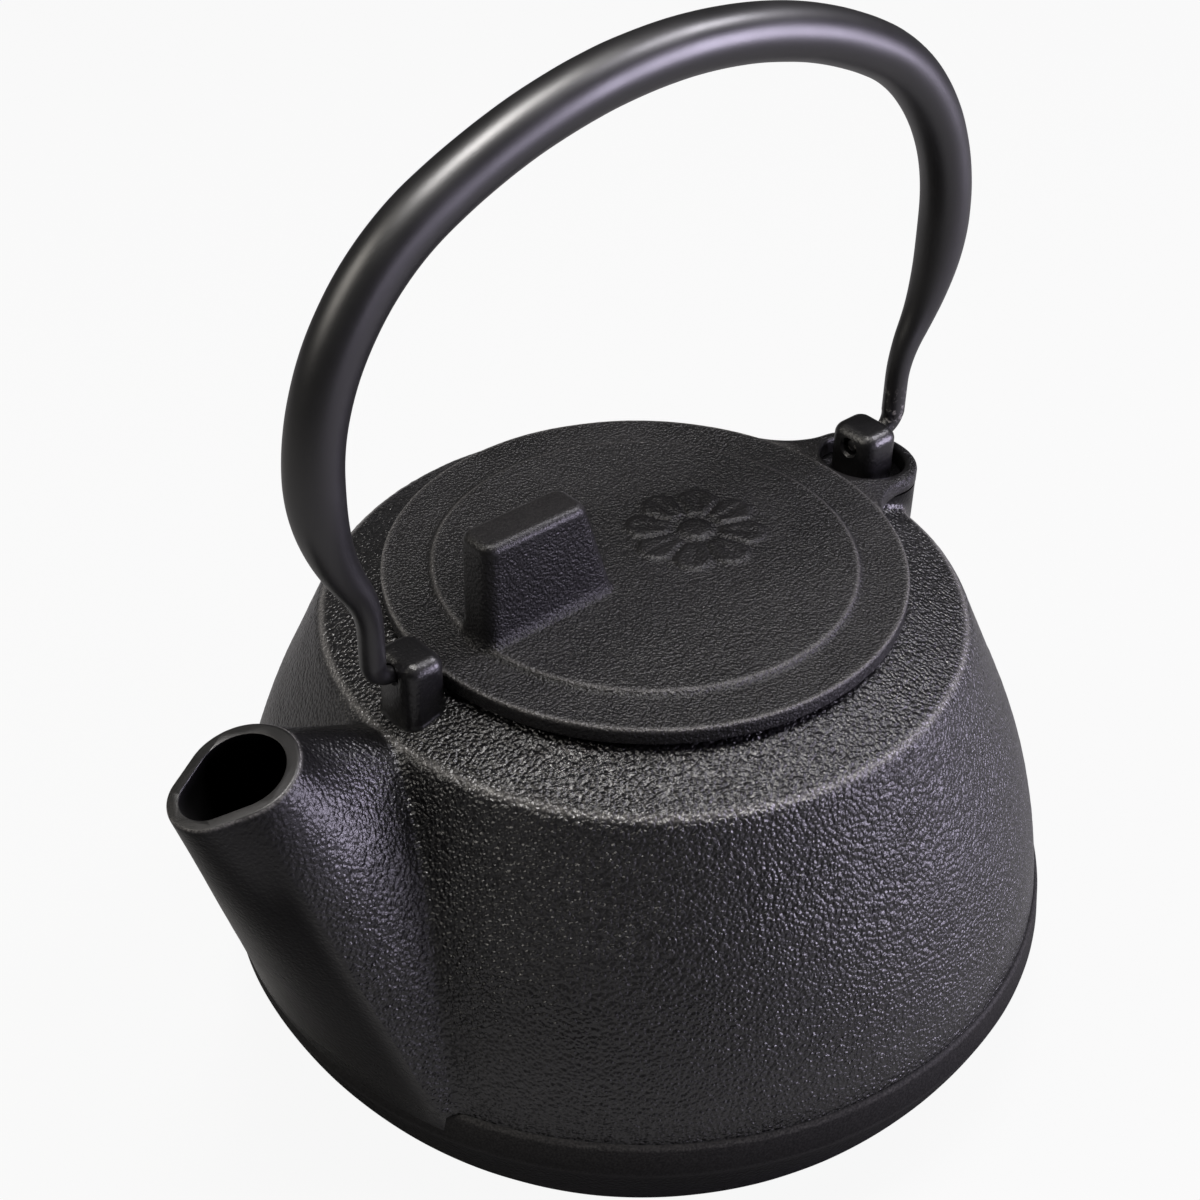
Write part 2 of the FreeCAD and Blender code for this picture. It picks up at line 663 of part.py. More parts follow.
def cut_slice(name, shell, low, high):
    """Piece of a casting between two heights."""
    slab = doc.addObject("Part::Box", name + "_slab")
    slab.setExpression("Length", rule("4 * band_radius"))
    slab.setExpression("Width", rule("4 * band_radius"))
    slab.setExpression("Height", rule("%s - (%s)" % (high, low)))
    slab.setExpression("Placement.Base.x", rule("-2 * band_radius"))
    slab.setExpression("Placement.Base.y", rule("-2 * band_radius"))
    slab.setExpression("Placement.Base.z", rule(low))
    return combine("Part::Common", name, shell, slab)


def build():
    pot_outside = make_pot_outside()
    channel = make_spout_loft("spout_channel", "spout_wall", "(wall + spout_wall)")
    inside = combine("Part::Fuse", "pot_inside", make_pot_hollow(), channel)
    keep_out = combine("Part::Fuse", "spout_keep_out", pot_outside, channel)
    shell = combine("Part::Cut", "pot_shell", pot_outside, inside)
    beak = make_spout_loft("spout_solid", "0", "0")
    beak = cut_slice("spout_beak", beak, "band_height", "spout_height + 2 * mouth_heel")
    pieces = {
        "pot_bowl": cut_slice("pot_bowl", shell, "-wall", "side_height"),
        "pot_side": cut_slice("pot_side", shell, "side_height", "side_top"),
        "pot_shoulder": cut_slice("pot_shoulder", shell, "side_top", "pot_height + wall"),
        "spout": combine("Part::Cut", "spout", beak, keep_out),
        "front_lug": combine("Part::Cut", "front_lug", make_front_lug(), pot_outside),
        "rear_lug": combine("Part::Cut", "rear_lug", make_rear_lug(), pot_outside),
        "lid": make_lid(),
        "bail": make_bail(),
    }
    for piece in make_basket():
        pieces[piece.Name] = piece
    doc.recompute()
    return pieces


def check_and_write(pieces):
    for item in doc.Objects:
        if "Invalid" in item.State or "Error" in item.State:
            raise RuntimeError("%s failed: %s" % (item.Name, item.State))
    os.makedirs("parts", exist_ok=True)
    for name, piece in pieces.items():
        piece.Label = name
        if piece.Shape.isNull() or not piece.Shape.isValid() or len(piece.Shape.Solids) != 1:
            raise RuntimeError("%s is not one valid solid" % name)
        piece.Shape.exportStep("parts/%s.step" % name)
        print("%-14s %10.1f mm3" % (name, piece.Shape.Volume), piece.Shape.BoundBox)


check_and_write(build())
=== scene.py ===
import math

import bmesh
import bpy
import numpy as np
from mathutils import Matrix, Vector, noise
from mathutils.bvhtree import BVHTree


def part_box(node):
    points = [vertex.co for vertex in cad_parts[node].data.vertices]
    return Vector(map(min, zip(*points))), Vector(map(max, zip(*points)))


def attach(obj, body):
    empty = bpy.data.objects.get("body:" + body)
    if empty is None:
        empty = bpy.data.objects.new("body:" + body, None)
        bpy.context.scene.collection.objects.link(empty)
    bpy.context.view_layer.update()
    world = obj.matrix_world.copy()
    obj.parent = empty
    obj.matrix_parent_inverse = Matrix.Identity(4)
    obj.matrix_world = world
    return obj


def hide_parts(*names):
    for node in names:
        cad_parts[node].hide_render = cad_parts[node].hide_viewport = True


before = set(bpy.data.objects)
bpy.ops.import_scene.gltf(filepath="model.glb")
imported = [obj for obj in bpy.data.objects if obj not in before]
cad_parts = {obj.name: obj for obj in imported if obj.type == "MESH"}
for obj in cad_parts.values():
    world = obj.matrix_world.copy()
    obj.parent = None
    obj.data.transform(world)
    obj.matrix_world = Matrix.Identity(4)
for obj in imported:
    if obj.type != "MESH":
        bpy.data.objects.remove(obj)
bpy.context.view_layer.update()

MM = 0.001

# Pot, in millimetres
BAND_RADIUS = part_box("pot_bowl")[1][1] / MM
POT_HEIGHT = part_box("pot_shoulder")[1][2] / MM
WALL = 3.6
FLOOR = 4.2
FOOT_RADIUS = BAND_RADIUS - 15
FOOT_CURVE = 60
BAND_HEIGHT = 25.5
LIP_RADIUS = BAND_RADIUS - 0.7
LIP_HEIGHT = BAND_HEIGHT + 6.1
LIP_STEP = 0.8
SIDE_RADIUS = LIP_RADIUS - LIP_STEP
SIDE_HEIGHT = LIP_HEIGHT + LIP_STEP
SIDE_CURVE = 128
BELLY_RADIUS = BAND_RADIUS - 14
BELLY_HEIGHT = POT_HEIGHT - 22.3
SHOULDER_RADIUS = BELLY_RADIUS - 8.7
SHOULDER_HEIGHT = POT_HEIGHT - 5.1
SHOULDER_COVE = 1.6
SEAT_RADIUS = SHOULDER_RADIUS - 15.8
MOUTH_RADIUS = 39
LEDGE_RADIUS = 43.1
LEDGE_HEIGHT = POT_HEIGHT - 3.2
LEDGE_THICKNESS = 3

# Spout, in millimetres and degrees
SPOUT_REACH = SHOULDER_RADIUS + 28.9
SPOUT_HEIGHT = POT_HEIGHT + 1.6
SPOUT_TILT = math.radians(15)
SPOUT_WALL = 2.4
SPOUT_LIP = 0.5
SPOUT_FLARE = 0.3
MOUTH_HEEL = 10.2
MOUTH_LIP = 7.6
MOUTH_LENGTH = 6.5
MOUTH_LEAN = (MOUTH_HEEL - MOUTH_LIP) / MOUTH_LENGTH
ROOT_CROWN = 12
ROOT_HALF = 38
ROOT_FOOT_CURVE = 60
ROOT_FOOT = (BAND_RADIUS - 8.2, BAND_HEIGHT - 0.5)
ROOT_TOP = (SHOULDER_RADIUS - 5, SHOULDER_HEIGHT - 3)

# Lugs, in millimetres
EYE_LEVEL = 103.5
EYE_RADIUS = 1.8
LUG_TOP = EYE_LEVEL + 3
FRONT_LUG_HALF = (4.3, 5.5)
REAR_LUG_HALF = (4.7, 5.6)
LUG_ROUND = 3.0
LUG_CROWN = 2.5
LUG_FOOT = 0.9
LUG_SINK = 0.35
EYE_BEVEL = 0.5
FRONT_LUG = -54.6
REAR_LUG = 60
FRONT_LUG_SHIFT = -0.3
REAR_LUG_RISE = 0.6

# Lid, in millimetres
LID_RADIUS = -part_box("lid")[0][0] / MM
LID_GAP = 0.3
LID_BASE = POT_HEIGHT + LID_GAP
LID_EDGE = LID_BASE + 3.4
LID_FACE = LID_EDGE + 0.9
RAISED_RADIUS = LID_RADIUS - 9.7
RAISED_EASE = 0.8
SKIRT_RADIUS = 35.8
SKIRT_WALL = 3
SKIRT_DEPTH = 5
LOBE_RADIUS = 11.4
LOBE_WALL = 2.7
LOBE_FILLET = 16
LOBE_SLOPE = math.tan(math.radians(6))
FIN_FRONT = -40.8
FIN_BACK = -11.6
FIN_BACK_TOP = -17.8
FIN_HALF = 4.3
FIN_ROUND = 2.6
FIN_CROWN = 1.7
FIN_FOOT = 1.9
FIN_SINK = 0.3
FIN_ROOT = 2
FIN_FOOT_RISE = 1.5
LEAST_ROUND = 0.5
FIN_STEPS = 10
FIN_ROWS = 20
FIN_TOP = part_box("lid")[1][2] / MM

# Bail, in millimetres
BAIL_MIDDLE = (FRONT_LUG + REAR_LUG) / 2
LUG_FACE = 61.3
HOOK_CURVE = 4.1
NECK_STRAIGHT = 6.6
NECK_CURVE = 22
ARM_BULGE = 8.6
ARM_CURVE = 46.3
ARCH_CURVE = 106.4
PIN_LENGTH = 7.2
PIN_RADIUS = 1.5
NECK_RADIUS = 2.35
GRIP_RADIUS = 5
SWELL = 34.5

# Photograph's camera: metres for its place and nearest sight, degrees, millimetres for lens and sensor
CAMERA_PLACE = (-0.2097, -0.2262, 0.3222)
CAMERA_TURN = -41.27
CAMERA_LIFT = 53.14
CAMERA_ROLL = 0.952
CAMERA_LENS = 60
CAMERA_SENSOR = 36
CAMERA_NEAR = 0.01


# Mesh tools

def link(piece):
    bpy.context.scene.collection.objects.link(piece)


def make_object(name, points, faces, material=None):
    """Mesh object from points in millimetres, with its faces turned outwards."""
    mesh = bpy.data.meshes.new(name)
    mesh.from_pydata([Vector(point) * MM for point in points], [], faces)
    work = bmesh.new()
    work.from_mesh(mesh)
    bmesh.ops.recalc_face_normals(work, faces=work.faces)
    work.to_mesh(mesh)
    work.free()
    if material:
        mesh.materials.append(material)
    piece = bpy.data.objects.new(name, mesh)
    link(piece)
    return piece


def arc(start, end, radius, steps=24):
    """Points of an arc that bulges to the right of the way from start to end, without its end."""
    first = Vector(start)
    half = (Vector(end) - first) / 2
    right = Vector((half.y, -half.x)).normalized()
    centre = first + half - right * math.sqrt(radius ** 2 - half.length_squared)
    begin = math.atan2(first.y - centre.y, first.x - centre.x)
    turn = 2 * math.asin(half.length / radius)
    angles = [begin + turn * step / steps for step in range(steps)]
    return [(centre.x + radius * math.cos(a), centre.y + radius * math.sin(a)) for a in angles]


def round_arc(centre, radius, begin, end, steps):
    """Points of an arc about a centre, in degrees, without its end."""
    angles = [math.radians(begin + (end - begin) * step / steps) for step in range(steps)]
    return [(centre[0] + radius * math.cos(a), centre[1] + radius * math.sin(a)) for a in angles]


def straight(start, end, steps):
    """Points along a line, without its end."""
    first, last = Vector(start), Vector(end)
    return [tuple(first.lerp(last, step / steps)) for step in range(steps)]


# Least bend of a corner that is rounded; a rounding takes one of a side's parts at most
SHARP_CORNER = math.radians(20)
SIDE_PARTS = 2.1


def soften(outline, cut, steps=4):
    """Outline with every sharp inner corner rounded."""
    points = [Vector(point) for point in outline]
    result = [points[0]]
    for before, corner, after in zip(points, points[1:], points[2:]):
        way_in, way_out = corner - before, after - corner
        if way_in.angle(way_out) < SHARP_CORNER:
            result.append(corner)
            continue
        start = corner - way_in.normalized() * min(cut, way_in.length / SIDE_PARTS)
        end = corner + way_out.normalized() * min(cut, way_out.length / SIDE_PARTS)
        for step in range(steps + 1):
            t = step / steps
            result.append(start.lerp(corner, t).lerp(corner.lerp(end, t), t))
    return result + [points[-1]]


def quarter_turns(steps):
    """Angles of a quarter turn in equal steps, both ends included."""
    return [math.radians(90 * step / steps) for step in range(steps + 1)]


def fill(outline, gap):
    """Outline with points added so that none lie further apart than the gap."""
    result = []
    for start, end in zip(outline, outline[1:]):
        count = max(1, math.ceil((Vector(end) - Vector(start)).length / gap))
        result += straight(start, end, count)
    return result + [outline[-1]]


def even(outline, steps):
    """Points at equal steps along an outline, without its end."""
    points = [Vector(point) for point in outline]
    marks = np.cumsum([0] + [(end - start).length for start, end in zip(points, points[1:])])
    wanted = np.linspace(0, marks[-1], steps, endpoint=False)
    return [(float(np.interp(mark, marks, [point.x for point in points])),
             float(np.interp(mark, marks, [point.y for point in points]))) for mark in wanted]


def lathe(name, outline, steps):
    """Solid swept about Z by an outline that starts and ends on the axis."""
    rings = outline[1:-1]
    points = [(0, 0, outline[0][1])]
    for radius, height in rings:
        points += [(x, y, height) for x, y in round_arc((0, 0), radius, 0, 360, steps)]
    points.append((0, 0, outline[-1][1]))
    last = len(points) - 1
    faces = []
    for k in range(steps):
        after = (k + 1) % steps
        faces.append((0, 1 + after, 1 + k))
        faces.append((last, last - steps + k, last - steps + after))
        for row in range(len(rings) - 1):
            low, high = 1 + row * steps, 1 + (row + 1) * steps
            faces.append((low + k, low + after, high + after, high + k))
    return make_object(name, points, faces)


def skin(name, loops, material=None):
    """Closed solid through loops of equal length."""
    count = len(loops[0])
    points = [point for loop in loops for point in loop]
    faces = [tuple(range(count)), tuple(range(len(points) - count, len(points)))]
    for row in range(len(loops) - 1):
        for k in range(count):
            after = (k + 1) % count
            low, high = row * count, (row + 1) * count
            faces.append((low + k, low + after, high + after, high + k))
    return make_object(name, points, faces, material)


def rounded_box_loop(low, high, radius, height, steps=8):
    """Rounded rectangle at a height; height may be a function of x and y."""
    loop = []
    corners = [(high[0], high[1], 0), (low[0], high[1], 90), (low[0], low[1], 180), (high[0], low[1], 270)]
    for x, y, begin in corners:
        centre = (x - math.copysign(radius, x - (low[0] + high[0]) / 2),
                  y - math.copysign(radius, y - (low[1] + high[1]) / 2))
        loop += round_arc(centre, radius, begin, begin + 90 + 90 / steps, steps + 1)
    level = height if callable(height) else lambda x, y: height
    return [(x, y, level(x, y)) for x, y in loop]


def bake(piece):
    """Applies the piece's modifiers."""
    graph = bpy.context.evaluated_depsgraph_get()
    graph.update()
    mesh = bpy.data.meshes.new_from_object(piece.evaluated_get(graph))
    piece.modifiers.clear()
    old = piece.data
    piece.data = mesh
    bpy.data.meshes.remove(old)


def discard(piece):
    mesh = piece.data
    bpy.data.objects.remove(piece)
    bpy.data.meshes.remove(mesh)


def paint(piece, *materials):
    """Gives a piece these materials in place of its own."""
    piece.data.materials.clear()
    for material in materials:
        piece.data.materials.append(material)


def boolean(piece, other, operation):
    """Joins or cuts closed solids exactly."""
    step = piece.modifiers.new("boolean", "BOOLEAN")
    step.operation = operation
    step.solver = "MANIFOLD"
    step.object = other
    bake(piece)


def merge(name, forms):
    """One skin round several overlapping solids; the solids stay."""
    merged = bpy.data.objects.new(name, forms[0].data.copy())
    link(merged)
    for form in forms[1:]:
        boolean(merged, form, "UNION")
    merged.data.materials.clear()
    return merged


def cut(piece, tool, material_index=0):
    """Takes a tool solid out of a piece; the cut faces get the piece's material of that index."""
    paint(tool, *piece.data.materials)
    tool.data.polygons.foreach_set("material_index", [material_index] * len(tool.data.polygons))
    boolean(piece, tool, "DIFFERENCE")
    discard(tool)


def vectors_of(items, field):
    """One vector per vertex."""
    values = np.empty(len(items) * 3, np.float32)
    items.foreach_get(field, values)
    return values.reshape(-1, 3).astype(float)


def points_of(piece):
    """Vertex places in millimetres."""
    return vectors_of(piece.data.vertices, "co") / MM


def move_points(piece, places):
    piece.data.vertices.foreach_set("co", (places * MM).astype(np.float32).ravel())
    piece.data.update()


def normals_of(piece):
    return vectors_of(piece.data.vertex_normals, "vector")


def neighbour_mean(piece, values):
    """Mean of a value over each vertex's neighbours."""
    ends = np.empty(len(piece.data.edges) * 2, np.int32)
    piece.data.edges.foreach_get("vertices", ends)
    a, b = ends.reshape(-1, 2).T
    total = np.zeros_like(values)
    np.add.at(total, a, values[b])
    np.add.at(total, b, values[a])
    count = np.bincount(ends, minlength=len(values)).astype(float)
    return total / (count[:, None] if values.ndim == 2 else count)


# Part of the way to its neighbours' mean that a point moves in one round
RELAX_SHARE = 0.6


def relax(piece, weight, rounds):
    """Smooths a piece where the weight is high."""
    places = points_of(piece)
    share = weight[:, None] * RELAX_SHARE
    for turn in range(rounds):
        places += (neighbour_mean(piece, places) - places) * share
    move_points(piece, places)


def distances(places, piece):
    """Distance in millimetres from each place to a piece's surface."""
    tree = BVHTree.FromPolygons([v.co for v in piece.data.vertices],
                                [p.vertices for p in piece.data.polygons])
    return np.array([tree.find_nearest(Vector(place) * MM)[3] / MM for place in places])


def step_up(low, high, value):
    """Smooth step from 0 at low to 1 at high."""
    t = np.clip((value - low) / (high - low), 0, 1)
    return t * t * (3 - 2 * t)


def bell(distance, width):
    """Falls from 1 at no distance towards 0 past the width."""
    return np.exp(-(distance / width) ** 2)


# Shares of a pebble: bending of its outline, steepness of its valleys, smaller lumps on it
SWIRL_SCALE, SWIRL = 0.7, 0.35
VALLEY_STEEPNESS = 1.6
LUMP_SCALE, LUMP = 1.9, 0.5


def pebbles(places, size):
    """Hammered look of the cast skin: rounded pebbles with narrow valleys, from -1 to 1."""
    middle = 0.5
    height = np.empty(len(places))
    for k, place in enumerate(places):
        spot = Vector(place) / size
        spot += noise.noise_vector(spot * SWIRL_SCALE) * SWIRL
        near = noise.voronoi(spot, distance_metric="DISTANCE")[0]
        pebble = min(1.0, VALLEY_STEEPNESS * (near[1] - near[0]))
        height[k] = pebble - middle + LUMP * noise.noise(spot * LUMP_SCALE)
    return height


# Fractal noise: loss of height and gain of fineness from each octave to the next, and their count
OCTAVE_LOSS, OCTAVE_GAIN, OCTAVES = 1.0, 2.0, 3


def waves(places, size):
    """Slow unevenness of a sand casting, from -1 to 1."""
    return np.array([noise.fractal(Vector(place) / size, OCTAVE_LOSS, OCTAVE_GAIN, OCTAVES)
                     for place in places])


def store(piece, **kept):
    """Keeps named numbers, one per vertex, for the materials."""
    for name, values in kept.items():
        attribute = piece.data.attributes.new(name, "FLOAT", "POINT")
        attribute.data.foreach_set("value", np.asarray(values, np.float32))


def shade_smooth(piece, angle=40):
    for polygon in piece.data.polygons:
        polygon.use_smooth = True
    piece.data.set_sharp_from_angle(angle=math.radians(angle))


# Materials

def feed(tree, node, **inputs):
    """Gives a node's inputs sockets to link or plain values; i0, i1 stand for numbered inputs."""
    for name, value in inputs.items():
        key = int(name[1:]) if name[0] == "i" and name[1:].isdigit() else name.replace("_", " ")
        if isinstance(value, bpy.types.NodeSocket):
            tree.links.new(value, node.inputs[key])
        else:
            node.inputs[key].default_value = value


def add(tree, kind, settings=(), **inputs):
    """Shader node with its settings and inputs."""
    made = tree.nodes.new(kind)
    for name, value in dict(settings).items():
        setattr(made, name, value)
    feed(tree, made, **inputs)
    return made


def blank_material(name):
    """Material with no shader yet; returns it with its tree, output and place coordinates."""
    material = bpy.data.materials.new(name)
    material.use_nodes = True
    tree = material.node_tree
    tree.nodes.clear()
    output = tree.nodes.new("ShaderNodeOutputMaterial")
    return material, tree, output, tree.nodes.new("ShaderNodeTexCoord").outputs["Object"]


def new_material(name, **surface):
    """Material with a Principled shader; returns it with its tree, shader and place coordinates."""
    material, tree, output, place = blank_material(name)
    shader = add(tree, "ShaderNodeBsdfPrincipled", **surface)
    feed(tree, output, Surface=shader.outputs[0])
    return material, tree, shader, place


def noise_of(tree, place, size, detail=3.0, roughness=0.5):
    """Noise with spots of about a size in millimetres."""
    made = add(tree, "ShaderNodeTexNoise", Vector=place, Scale=1 / MM / size, Detail=detail,
               Roughness=roughness)
    return made.outputs[0]


def math_of(tree, operation, a, b):
    return add(tree, "ShaderNodeMath", {"operation": operation}, i0=a, i1=b).outputs[0]


def times(tree, a, b):
    return math_of(tree, "MULTIPLY", a, b)


def range_of(tree, value, low, high, to_low=0.0, to_high=1.0):
    """Value mapped from one range to another, and kept in it."""
    made = add(tree, "ShaderNodeMapRange", Value=value, From_Min=low, From_Max=high, To_Min=to_low,
               To_Max=to_high)
    return made.outputs[0]


def mix_colour(tree, factor, a, b):
    """Mix of two colours, by the numbers of its sockets because their names aren't unique."""
    return add(tree, "ShaderNodeMix", {"data_type": "RGBA"}, i0=factor, i6=a, i7=b).outputs[2]


def attribute_of(tree, name):
    return add(tree, "ShaderNodeAttribute", {"attribute_name": name}).outputs["Fac"]


def bump_of(tree, shader, height, strength, distance):
    """Bends the shader's normal by a height."""
    bump = add(tree, "ShaderNodeBump", Strength=strength, Distance=distance, Height=height)
    feed(tree, shader, Normal=bump.outputs[0])


# Red in a violet cast, as a share of its blue
VIOLET_RED = 0.4


def grey(level, warm=0.0, violet=0.0):
    """Grey with a warm or a violet cast, as shares of its level."""
    return (level * (1 + warm + VIOLET_RED * violet), level, level * (1 - warm + violet), 1)


# Range in which most values of a noise lie
NOISE_LOW, NOISE_HIGH = 0.3, 0.7
COAT_IOR = 1.5

# Cast iron: sizes in millimetres, the rest as shares
DULL_GRAIN, SHINY_GRAIN = 0.1, 0.5
BEND_SCALE, BEND_SHARE = 0.7, 0.4
CELL_SMOOTHNESS = 0.45
WRINKLE_SHARE, CELL_SHARE = 0.4, 0.8
SMOOTH_SAND = 0.3
BLOTCH_SIZE = 22
# Painted glints: light flecks where the fine sand noise is high, on the coarse skin only
GLINT_LOW, GLINT_HIGH, GLINT_MOST = 0.60, 0.78, 0.55
GLINT_SHARE = 0.15
# Lighter and a little glossier where the vertex mark is high: painted highlights along edges, painted glints
# on pebble tops, and some rubbing on the posts and the fin's top
RUB_AND_HIGHLIGHT_LOW, RUB_AND_HIGHLIGHT_HIGH, RUB_AND_HIGHLIGHT_LEAST = 0.35, 0.7, 0.25
RUB_AND_HIGHLIGHT_POLISH = 0.1
GLOSS_BELOW, GLOSS_ABOVE = 0.04, 0.05
IRON_DARK, IRON_LIGHT = grey(0.003, violet=0.1), grey(0.006, violet=0.1)


def cast_iron(name, pebble_height, sand_height, wear_and_highlight_tone, rough, dull, shine, pebble_size=0.8, sand_size=0.4,
              dark=IRON_DARK, light=IRON_LIGHT):
    """Blackened cast iron: pebbles where the skin is coarse, fine sand all over, painted glints on the
    pebbles, and a lighter tone where a vertex mark holds painted edge highlights and some rubbing.
    """
    material, tree, shader, place = new_material(name, IOR=COAT_IOR)
    grain, wear = attribute_of(tree, "grain"), attribute_of(tree, "wear")
    feed(tree, shader, Specular_IOR_Level=range_of(tree, grain, DULL_GRAIN, SHINY_GRAIN, dull, shine))
    bend = add(tree, "ShaderNodeTexNoise", Vector=place, Scale=BEND_SCALE / MM / pebble_size, Detail=2.0)
    shift = add(tree, "ShaderNodeVectorMath", {"operation": "MULTIPLY_ADD"}, i0=bend.outputs["Color"],
                i1=(BEND_SHARE * MM * pebble_size,) * 3, i2=place)
    cells = add(tree, "ShaderNodeTexVoronoi", {"feature": "SMOOTH_F1"}, Vector=shift.outputs[0],
                Scale=1 / MM / pebble_size, Smoothness=CELL_SMOOTHNESS)
    wrinkle = times(tree, noise_of(tree, place, pebble_size, detail=1.5), WRINKLE_SHARE)
    valley = times(tree, cells.outputs["Distance"], CELL_SHARE)
    pebble = math_of(tree, "SUBTRACT", wrinkle, valley)
    sand = noise_of(tree, place, sand_size, detail=2.0)
    blotch = noise_of(tree, place, BLOTCH_SIZE, detail=4.0)
    coarse = times(tree, times(tree, pebble, grain), pebble_height)
    sandy = range_of(tree, grain, 0.0, 1.0, SMOOTH_SAND * sand_height, sand_height)
    height = math_of(tree, "ADD", coarse, times(tree, sand, sandy))
    bump_of(tree, shader, height, 1.0, MM)
    tone = mix_colour(tree, range_of(tree, blotch, NOISE_LOW, NOISE_HIGH), dark, light)
    # Painted glints: light flecks on the coarse skin
    glint_spots = range_of(tree, sand, GLINT_LOW, GLINT_HIGH, 0.0, GLINT_MOST)
    painted_glints = times(tree, times(tree, glint_spots, grain), GLINT_SHARE)
    # Painted highlights and rubbing from the vertex mark, lightening the colour
    rubbed_and_highlit = times(tree, wear, range_of(tree, sand, RUB_AND_HIGHLIGHT_LOW, RUB_AND_HIGHLIGHT_HIGH, RUB_AND_HIGHLIGHT_LEAST))
    painted_light_and_wear = math_of(tree, "MAXIMUM", painted_glints, rubbed_and_highlit)
    gloss = range_of(tree, blotch, NOISE_LOW, NOISE_HIGH, rough - GLOSS_BELOW, rough + GLOSS_ABOVE)
    polish = times(tree, rubbed_and_highlit, RUB_AND_HIGHLIGHT_POLISH)
    feed(tree, shader, Base_Color=mix_colour(tree, painted_light_and_wear, tone, wear_and_highlight_tone),
         Roughness=math_of(tree, "SUBTRACT", gloss, polish))
    return material


# Paint: sizes and heights in millimetres
PAINT_DARK, PAINT_LIGHT = grey(0.002, violet=0.15), grey(0.004, violet=0.15)
PEEL_SIZE, PEEL_HEIGHT = 0.9, 0.02
CLOUD_SIZE = 14
CHIP_SIZE, CHIP_DEPTH = 1.3, 0.05
CHIP_LOW, CHIP_HIGH = 0.55, 0.62


def satin_black(name, wear_and_highlight_tone):
    """Smooth black paint on the bail and the pot's inside, chipped where it is rubbed."""
    material, tree, shader, place = new_material(name, IOR=COAT_IOR, Specular_IOR_Level=0.9)
    wear = attribute_of(tree, "wear")
    fine = noise_of(tree, place, PEEL_SIZE)
    slow = noise_of(tree, place, CLOUD_SIZE, detail=4.0)
    spots = noise_of(tree, place, CHIP_SIZE, detail=5.0, roughness=0.7)
    chipped = times(tree, range_of(tree, spots, CHIP_LOW, CHIP_HIGH), wear)
    tone = mix_colour(tree, slow, PAINT_DARK, PAINT_LIGHT)
    gloss = range_of(tree, slow, NOISE_LOW, NOISE_HIGH, to_low=0.36, to_high=0.42)
    feed(tree, shader, Base_Color=mix_colour(tree, chipped, tone, wear_and_highlight_tone), Roughness=gloss)
    peel = times(tree, fine, PEEL_HEIGHT)
    pits = times(tree, chipped, CHIP_DEPTH)
    bump_of(tree, shader, math_of(tree, "SUBTRACT", peel, pits), 0.6, MM)
    return material


# Depth of grinding and brushing marks, and the roughness of their noise
MARK_DEPTH = 0.05 * MM
MARK_NOISE = 0.6


def marked_metal(name, stretch, size, detail, tones, gloss, bump, blotch=None, **surface):
    """Metal with marks that lie closer across than along, tinted by blotches or by the marks."""
    material, tree, shader, place = new_material(name, **surface)
    stretched = add(tree, "ShaderNodeMapping", Vector=place, Scale=stretch)
    marks = noise_of(tree, stretched.outputs[0], size, detail, MARK_NOISE)
    shade = noise_of(tree, place, blotch) if blotch else marks
    feed(tree, shader, Base_Color=mix_colour(tree, shade, *tones),
         Roughness=range_of(tree, marks, NOISE_LOW, NOISE_HIGH, *gloss))
    bump_of(tree, shader, marks, bump, MARK_DEPTH)
    return material


# Each cast iron's light tone colours its painted glints and painted edge highlights as well as rubbed spots
POT_IRON = cast_iron("pot_iron", pebble_height=0.5, sand_height=0.12, wear_and_highlight_tone=grey(0.22, warm=0.03),
                     rough=0.29, dull=0.05, shine=0.62)
BOWL_IRON = cast_iron("bowl_iron", pebble_height=0.25, sand_height=0.07, wear_and_highlight_tone=grey(0.06, warm=0.03),
                      rough=0.55, dull=0.07, shine=0.07, light=grey(0.005, violet=0.1))
LUG_IRON = cast_iron("lug_iron", pebble_height=0.4, sand_height=0.2, wear_and_highlight_tone=grey(0.16, warm=0.03),
                     rough=0.34, dull=0.6, shine=0.6, sand_size=0.5)
LID_IRON = cast_iron("lid_iron", pebble_height=0.3, sand_height=0.25, wear_and_highlight_tone=grey(0.22, warm=0.03),
                     rough=0.33, dull=0.36, shine=0.36, pebble_size=0.6, sand_size=0.35,
                     dark=grey(0.005, warm=0.02, violet=0.06), light=grey(0.010, warm=0.02, violet=0.06))
BAIL_BLACK = satin_black("bail_black", wear_and_highlight_tone=grey(0.45, warm=0.05))
ENAMEL = satin_black("enamel", wear_and_highlight_tone=grey(0.05))
# Edge of the spout's mouth, ground flat after casting and blackened thinly
GROUND = marked_metal("ground_iron", stretch=(1, 6, 1), size=0.8, detail=4.0, gloss=(0.32, 0.5),
                      tones=(grey(0.004, warm=0.03), grey(0.012, warm=0.04)), bump=0.5, blotch=5,
                      IOR=COAT_IOR, Specular_IOR_Level=0.6)
# Infuser sheet, brushed round its axis
STEEL = marked_metal("infuser_steel", stretch=(1, 1, 14), size=3.0, detail=5.0, gloss=(0.24, 0.38),
                     tones=(grey(0.46), grey(0.62)), bump=0.3, Metallic=1.0)


# Pot

def foot_arc(steps=24):
    """Outside of the foot from the underside to the band, without its end."""
    return arc((FOOT_RADIUS, 0), (BAND_RADIUS, BAND_HEIGHT), FOOT_CURVE, steps)


def side_outline():
    """Outside of the pot above its lip, from the lip up."""
    return (arc((SIDE_RADIUS, SIDE_HEIGHT), (BELLY_RADIUS, BELLY_HEIGHT), SIDE_CURVE, steps=30)
            + [(BELLY_RADIUS, BELLY_HEIGHT),
               (SHOULDER_RADIUS + SHOULDER_COVE, SHOULDER_HEIGHT - SHOULDER_COVE),
               (SHOULDER_RADIUS, SHOULDER_HEIGHT),
               (SEAT_RADIUS, POT_HEIGHT)])


